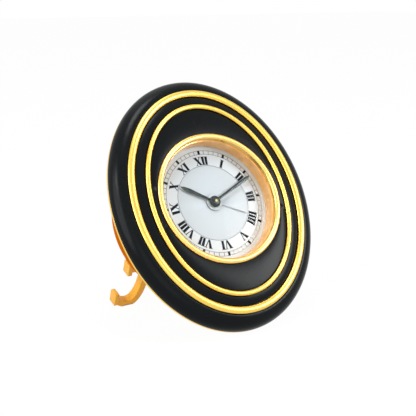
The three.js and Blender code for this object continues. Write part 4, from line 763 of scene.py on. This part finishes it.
def makeMinuteHand(s, hub):
    dome = [(hub["bore"] + (hub["radius"] - hub["bore"]) * cos(t), s["level"] + hub["height"] * sin(t))
            for t in spaced(0, pi / 2, hub["steps"])]
    cap = turnedShell([(hub["bore"], s["level"]), *dome], hub["sides"])
    finishPiece("minuteHand", [ridgedBlade(s), cap], handEnamel, "minute_work", ["minute_hand"],
                sharpAngle=handSharpAngle)


def makeAlarmHand(s):
    # a pale disc under the other hands, and the thin hand that it carries
    finishPiece("alarmHandDisc", [handDisc(s)], paleDisc, "alarm_time", ["alarm_hand"])
    half = s["width"] / 2
    profile = softened(oblong(-half, half, s["level"], s["level"] + s["thickness"]), s["bladeSoftness"])
    blade = moved(loftPart([[(x, y, z) for x, z in profile] for y in (s["hub"] * s["rootShare"], s["length"])]),
                  turn=-radians(s["degrees"]))
    finishPiece("alarmHand", [blade], paleWire, "alarm_time", [])


makeHourHand(handSizes["hour"])
makeMinuteHand(handSizes["minute"], hubSize)
makeAlarmHand(handSizes["alarm"])


print("case body")
backPlateSize = {
    "half": (37.28, 44.46), "face": -6.3, "back": -7.2, "collarEnd": -9.5, "collarOuter": 27.7,
    "collarInner": 26.4, "hole": 22.1, "edge": 0.25, "sides": 192}
canSize = {
    "radius": 29.0, "wall": 1.2, "front": -7.3, "back": -28.0, "round": 2.4, "steps": 8, "mouth": 26.3,
    "coverFace": -26.8, "rearInner": 27.2, "shoulder": -11.1, "ledge": 1.3, "sides": 160}
coverSize = {
    "radius": 26.2, "face": -26.9, "back": -28.0, "edge": 0.2, "sides": 160, "holeSides": 32,
    "buttonHole": 0.95, "holes": (("winding_turn", 1.15), ("alarm_winding_turn", 1.15),
                                  ("hand_setting_turn", 0.65), ("alarm_setting_turn", 0.65))}
regulatorSlot = {"radius": 6.5, "half": 0.7, "middle": 265.0, "sweep": 21.3, "steps": 12}
coverScrewSize = {
    "radius": 0.95, "height": 0.5, "shaft": 0.5, "length": 1.9, "gap": 0.1, "seatEdge": 0.05, "headEdge": 0.22,
    "slotWidth": 0.3, "slotDepth": 0.25, "slotSlope": 0.03, "slotFrom": 0.4, "firstTurn": 37, "nextTurn": 61,
    "inset": 0.6, "degrees": (45, 135, 225, 315), "sides": 40}
stopButtonPlace = (-5.0, 17.6)


def makeBackPlate(s):
    hole, inner, outer = ((s[key], s[key]) for key in ("hole", "collarInner", "collarOuter"))
    face, back, collarEnd = s["face"], s["back"], s["collarEnd"]
    section = [(*hole, face, 0.0), (*s["half"], face, s["edge"]), (*s["half"], back, s["edge"]), (*outer, back, 0.0),
               (*outer, collarEnd, 0.0), (*inner, collarEnd, 0.0), (*inner, back, 0.0), (*hole, back, 0.0)]
    shell = ovalShell(softened(section, 0.0, size=3), s["sides"])
    finishPiece("backPlate", [shell], polishedGilt, "case", ["back_plate"])


def makeCan(s):
    rounded = [(s["radius"] - s["round"] * (1 - cos(t)), s["back"] + s["round"] * (1 - sin(t)))
               for t in spaced(0, pi / 2, s["steps"])]
    inner, floor, mouth, face = s["radius"] - s["wall"], s["coverFace"] + s["wall"], s["mouth"], s["coverFace"]
    profile = [(inner, s["front"]), (s["radius"], s["front"]), *rounded, (mouth, s["back"]), (mouth, face),
               (mouth - s["ledge"], face), (mouth - s["ledge"], floor), (s["rearInner"], floor),
               (s["rearInner"], s["shoulder"]), (inner, s["shoulder"])]
    finishPiece("rearCan", [turnedShell(profile, s["sides"])], turnedGilt, "case", ["rear_can"])


def makeCover(s, slot):
    outlines = [ring(s["radius"], s["sides"])]
    outlines += [ring(radius, s["holeSides"], jointPlace(joint)) for joint, radius in s["holes"]]
    outlines.append(ring(s["buttonHole"], s["holeSides"], stopButtonPlace))
    centre = jointPlace("regulator_shift")
    angles = [radians(d) for d in spaced(slot["middle"] - slot["sweep"], slot["middle"] + slot["sweep"],
                                         slot["steps"])]
    outlines.append([polar(slot["radius"] + side * slot["half"], a, centre)
                     for side, row in ((1, angles), (-1, angles[::-1])) for a in row])
    mesh = plateMesh("rearCover", outlines, s["back"], s["face"], s["edge"])
    finishPiece("rearCover", mesh, turnedGilt, "case", ["rear_cover"])


def makeCoverScrew(index, degrees, s):
    head = coverSize["back"] - s["gap"]
    half = s["slotWidth"] / 2
    profile = softened([(0, head + s["length"]), (s["shaft"], head + s["length"], 0.0), (s["shaft"], head, 0.0),
                        (s["radius"], head, s["seatEdge"]), (s["radius"], head - s["height"], s["headEdge"]),
                        (0, head - s["height"])], 0.0, closed=False)
    mesh = meshFromParts(f"coverScrew{index}", [turnedShell(profile, s["sides"], closed=False)])
    # the slot: the head is cut along its sides, and the strip between them is pushed inwards
    build = bmesh.new()
    build.from_mesh(mesh)
    across = Vector((*polar(1, radians(s["firstTurn"] + s["nextTurn"] * (index - 1)) + pi / 2), 0))
    for side in (-1, 1):
        for offset in (half, half + s["slotSlope"]):
            bmesh.ops.bisect_plane(build, geom=build.verts[:] + build.edges[:] + build.faces[:],
                                   plane_co=across * side * offset, plane_no=across)
    for vertex in build.verts:
        inHead = vertex.co.z < head - s["height"] * s["slotFrom"]
        if inHead and abs(vertex.co.dot(across)) < half + s["slotSlope"] / 3:
            vertex.co.z += s["slotDepth"]
    build.to_mesh(mesh)
    build.free()
    finishPiece(f"coverScrew{index}", mesh, polishedSteel, "case", [f"cover_screw_{index}"],
                at=polar(coverSize["radius"] - s["inset"], radians(degrees)))


makeBackPlate(backPlateSize)
makeCan(canSize)
makeCover(coverSize, regulatorSlot)
for index, degrees in enumerate(coverScrewSize["degrees"], 1):
    makeCoverScrew(index, degrees, coverScrewSize)


print("keys, knobs and button")
keySize = {
    "face": -28.4, "bossHeight": 1.6, "bossRadius": 1.7, "bore": 1.15, "boreMargin": 0.1, "seatEdge": 0.15,
    "bossEdge": 0.3, "sides": 48, "wingLength": 5.0, "wingHeight": 4.6, "wingSink": 0.2, "thickness": 1.2,
    "edge": 0.35, "edgeSteps": 3, "curveSteps": 6,
    "outline": ((0.2, 0.0), (0.75, 0.1), (1.0, 0.4), (0.95, 0.8), (0.7, 1.0), (0.35, 0.85), (0.15, 0.55))}
knobSize = {
    "face": -28.4, "height": 2.4, "radius": 3.0, "edge": 0.35, "bore": 0.65, "boreEdge": 0.1, "edgeSteps": 5,
    "flutes": 24, "fluteDepth": 0.16, "fluteSides": 8, "rimShare": 0.18, "sharpAngle": 50}
buttonSize = {
    "stem": 0.9, "head": 1.8, "innerEnd": -26.1, "collarTop": -26.2, "collarFoot": -26.8, "face": -30.0,
    "back": -31.8, "collarEdge": 0.1, "faceEdge": 0.15, "crown": 0.6, "edgeSteps": 5, "sides": 64}


def makeKey(name, node, joint, body, s):
    base = s["face"] - s["bossHeight"]
    boreEnd = s["face"] - s["bossHeight"] / 2 - s["boreMargin"]
    profile = softened([(0, boreEnd), (s["bore"], boreEnd, 0.0), (s["bore"], s["face"], 0.0),
                        (s["bossRadius"], s["face"], s["seatEdge"]), (s["bossRadius"], base, s["bossEdge"]),
                        (0, base)], 0.0, closed=False)
    right = [(s["wingLength"] * x, -s["wingHeight"] * y) for x, y in s["outline"]]
    loop = smoothLoop(right + [(-x, y) for x, y in reversed(right)], s["curveSteps"])
    half = s["thickness"] / 2
    wings = plateMesh(name, [loop], -half, half, s["edge"], s["edgeSteps"])
    wings.transform(Matrix.Translation((0, 0, base + s["wingSink"])) @ Matrix.Rotation(pi / 2, 4, "X"))
    boss = turnedShell(profile, s["sides"], closed=False)
    finishPiece(name, [boss, partOf(wings)], polishedGilt, body, [node], at=jointPlace(joint))


def makeKnob(name, node, joint, body, s):
    # the rim is fluted, and its edges are turned over
    back = s["face"] - s["height"]
    rim = softened([(s["bore"], s["face"], 0.0), (s["radius"], s["face"], s["edge"]), (s["radius"], back, s["edge"]),
                    (s["bore"], back, s["boreEdge"])], 0.0, steps=s["edgeSteps"])
    sides = s["flutes"] * s["fluteSides"]
    vertices, faces = turnedShell([tuple(p) for p in rim], sides)
    rimWidth = s["radius"] * s["rimShare"]
    fluted = []
    for index, (x, y, z) in enumerate(vertices):
        angle = 2 * pi * (index // len(rim)) / sides
        share = max(0.0, (math.hypot(x, y) - (s["radius"] - rimWidth)) / rimWidth)
        pull = 1 - share * s["fluteDepth"] / s["radius"] * (0.5 - 0.5 * cos(angle * s["flutes"]))
        fluted.append((x * pull, y * pull, z))
    finishPiece(name, [(fluted, faces)], polishedGilt, body, [node], sharpAngle=s["sharpAngle"],
                at=jointPlace(joint))


def makeStopButton(s):
    stem, head, soft = s["stem"], s["head"], s["collarEdge"]
    profile = softened([(0, s["innerEnd"]), (stem, s["innerEnd"], soft), (stem, s["collarTop"], 0.0),
                        (head, s["collarTop"], soft), (head, s["collarFoot"], soft), (stem, s["collarFoot"], 0.0),
                        (stem, s["face"], 0.0), (head, s["face"], s["faceEdge"]), (head, s["back"], s["crown"]),
                        (0, s["back"])], 0.0, steps=s["edgeSteps"], closed=False)
    finishPiece("alarmStopButton", [turnedShell(profile, s["sides"], closed=False)], polishedGilt, "stop_button",
                ["alarm_stop_button"], at=stopButtonPlace)


makeKey("windingKey", "winding_key", "winding_turn", "winding", keySize)
makeKey("alarmWindingKey", "alarm_winding_key", "alarm_winding_turn", "alarm_winding", keySize)
makeKnob("handSettingKnob", "hand_setting_knob", "hand_setting_turn", "hand_setting", knobSize)
makeKnob("alarmSettingKnob", "alarm_setting_knob", "alarm_setting_turn", "alarm_setting", knobSize)
makeStopButton(buttonSize)


print("stand")
bracketSize = {
    "width": 12.0, "height": 6.4, "base": 0.7, "baseEdge": 0.2, "ear": 1.4, "earRadius": 1.25, "earEdge": 0.15,
    "bore": 0.67, "face": -28.1, "steps": 16, "holeSides": 32}
pinSize = {"radius": 0.6, "half": 6.1, "edge": 0.25, "edgeSteps": 4, "sides": 40}
legSize = {
    "bar": 2.4, "depth": 3.4, "limbDepth": 3.34, "edge": 0.13, "crossDrop": 2.6, "crossSpan": 24.3,
    "blockWidth": 1.6, "blockHeight": 4.5, "blockDepth": 3.9, "footSpan": 28.1, "footLift": 3.5, "reach": 17.874,
    "knuckle": 1.25, "knuckleGap": 0.1, "knuckleEdge": 0.15, "knuckleSides": 48, "web": 2.0, "webEdge": 0.15,
    "bendSteps": 40, "nudge": 0.01, "limb": ((0.63, 0.0), (0.612, 0.607), (0.73, 1.25), (0.985, 0.82))}


def makeBracket(s):
    hingeY, hingeZ = -clockStance["hingeDrop"], clockStance["hingeLevel"]
    middle, half = s["face"] - s["base"] / 2, s["ear"] / 2
    parts = [blockPart(s["width"], s["height"], s["base"], (0, hingeY, middle), s["baseEdge"])]
    top = middle - hingeZ
    outline = [(s["earRadius"], top), (-s["earRadius"], top),
               *(polar(s["earRadius"], angle) for angle in spaced(pi, 2 * pi, s["steps"]))]
    for side in (-1, 1):
        ear = plateMesh("ear", [outline, ring(s["bore"], s["holeSides"])], -half, half, s["earEdge"])
        ear.transform(Matrix.Translation((side * (s["width"] / 2 - half), hingeY, hingeZ))
                      @ Matrix.Rotation(pi / 2, 4, "X") @ Matrix.Rotation(pi / 2, 4, "Y"))
        parts.append(partOf(ear))
    finishPiece("standBracket", parts, warmGilt, "case", ["stand_bracket"])


def makeHingePin(s):
    profile = softened([(0, -s["half"]), (s["radius"], -s["half"], s["edge"]), (s["radius"], s["half"], s["edge"]),
                        (0, s["half"])], 0.0, steps=s["edgeSteps"], closed=False)
    mesh = meshFromParts("standHingePin", [turnedShell(profile, s["sides"], closed=False)])
    mesh.transform(hingePlace @ Matrix.Rotation(pi / 2, 4, "Y"))
    finishPiece("standHingePin", mesh, polishedSteel, "case", ["stand_hinge_pin"])


def bezierPoint(points, t):
    a, b, c, d = (Vector(p) for p in points)
    return a * (1 - t) ** 3 + b * 3 * t * (1 - t) ** 2 + c * 3 * t * t * (1 - t) + d * t ** 3


def limbPart(side, s):
    # a flat bar that goes down from the cross bar and bends outwards, with softened edges
    fall = s["reach"] - s["crossDrop"]
    controls = [(s["footSpan"] * across, -s["crossDrop"] - fall * down) for across, down in s["limb"]]
    half, deep = s["bar"] / 2, s["limbDepth"] / 2
    section = softened(oblong(-half, half, -deep, deep), s["edge"])
    sections = []
    for t in spaced(0, 1, s["bendSteps"]):
        here = bezierPoint(controls, t)
        ahead = bezierPoint(controls, min(1, t + s["nudge"])) - bezierPoint(controls, max(0, t - s["nudge"]))
        across = Vector((-ahead.y, ahead.x)).normalized()
        sections.append([(side * (here.x + across.x * offset), here.y + across.y * offset, depth)
                         for offset, depth in section])
    return loftPart(sections)


def makeLeg(s):
    bore = bracketSize["bore"]
    half = bracketSize["width"] / 2 - bracketSize["ear"] - s["knuckleGap"]
    rim = softened([(bore, -half, 0.0), (s["knuckle"], -half, s["knuckleEdge"]),
                    (s["knuckle"], half, s["knuckleEdge"]), (bore, half, 0.0)], 0.0)
    vertices, faces = turnedShell([tuple(p) for p in rim], s["knuckleSides"])
    webTop = (bore + s["knuckle"]) / 2
    webPlace = (0, -(s["crossDrop"] + webTop) / 2, 0)
    block = s["blockWidth"], s["blockHeight"], s["blockDepth"]
    parts = [([(z, y, x) for x, y, z in vertices], faces),
             blockPart(half * 2, s["crossDrop"] - webTop, s["web"], webPlace, s["webEdge"]),
             blockPart(s["crossSpan"] * 2, s["bar"], s["depth"], (0, -s["crossDrop"], 0), s["edge"])]
    for side in (-1, 1):
        parts += [limbPart(side, s),
                  blockPart(*block, (side * s["crossSpan"], -s["crossDrop"], 0), s["edge"]),
                  blockPart(*block, (side * s["footSpan"], s["footLift"] - s["reach"], 0), s["edge"])]
    leg = finishPiece("standLeg", parts, warmGilt, "stand", ["stand_leg"], legFrame)
    for vertex in leg.data.vertices:
        vertex.co.z = max(vertex.co.z, 0.0)  # the lowest bends are flat where they stand
    leg.data.update()


makeBracket(bracketSize)
makeHingePin(pinSize)
makeLeg(legSize)


print("movement")
slotFinishes = {"steel": polishedSteel, "movement_brass": movementBrass, "blued_steel": bluedSpring,
                "gilt": polishedGilt, "warm_gilt": warmGilt, "lacquer": blackLacquer, "hand_paint": handEnamel,
                "dial_paint": dialEnamel, "glass": crystalClear}
slotOf = {part["node"]: part["material_slot"] for part in frame["record"]["subparts"]}
for node, carried in frame["nodes"].items():
    carried.data.materials.clear()
    carried.data.materials.append(slotFinishes[slotOf[node]])


print("floor and light")
floorLook = {"half": 3.0, "tone": 0.45, "roughness": 0.8, "shown": 0.93, "white": 1.04}
worldStrength = 0.3
lampAim = (0, 0, 0.04)
# each lamp's place, size and power
lamps = {"leftLamp": ((-0.85, -0.1, 0.4), 0.8, 5.4),
         "sparkLamp": ((-0.62, -0.1, 0.62), 0.16, 0.7),
         "sideLamp": ((0.62, -0.58, 0.44), 0.36, 3.8),
         "frontLamp": ((-0.45, -0.95, 0.3), 0.7, 0.9),
         "streakLamp": ((-0.01, -0.08, 0.95), 0.36, 3.0),
         "topLamp": ((0.1, 0.35, 0.85), 0.6, 0.5)}
seenDirectly = ("Camera", "Glossy", "Transmission")


def makeFloor(s):
    # white where it is seen, and a dull grey for the light that it throws back
    corners = [(x, y, 0) for x, y in oblong(-s["half"], s["half"], -s["half"], s["half"])]
    mesh = bpy.data.meshes.new("floor")
    mesh.from_pydata(corners, [], [(0, 1, 2, 3)])
    material, tree, shader = startMaterial("paleFloor")
    shader.inputs["Base Color"].default_value = (s["tone"], s["tone"], s["tone"], 1)
    shader.inputs["Roughness"].default_value = s["roughness"]
    shown = addNode(tree, "ShaderNodeEmission", {"Color": white, "Strength": s["white"]})
    showEither(tree, mathNode(tree, "MULTIPLY", rayIs(tree, *seenDirectly), s["shown"]), shader, shown)
    mesh.materials.append(material)
    addObject("floor", mesh)


def makeWorld(strength):
    # full white where it is seen, and dimmer as a light
    world = bpy.data.worlds.new("studio")
    scene.world = world
    world.use_nodes = True
    tree = world.node_tree
    background = tree.nodes["Background"]
    background.inputs["Color"].default_value = white
    tree.links.new(rangeNode(tree, rayIs(tree, *seenDirectly), 0, 1, strength, 1.0), background.inputs["Strength"])


def makeLamp(name, place, size, power):
    data = bpy.data.lights.new(name, "AREA")
    data.shape, data.size, data.energy = "DISK", size, power
    lamp = addObject(name, data)
    lamp.location = place
    lamp.rotation_euler = (Vector(lampAim) - lamp.location).to_track_quat("-Z", "Y").to_euler()


makeFloor(floorLook)
makeWorld(worldStrength)
for name, settings in lamps.items():
    makeLamp(name, *settings)
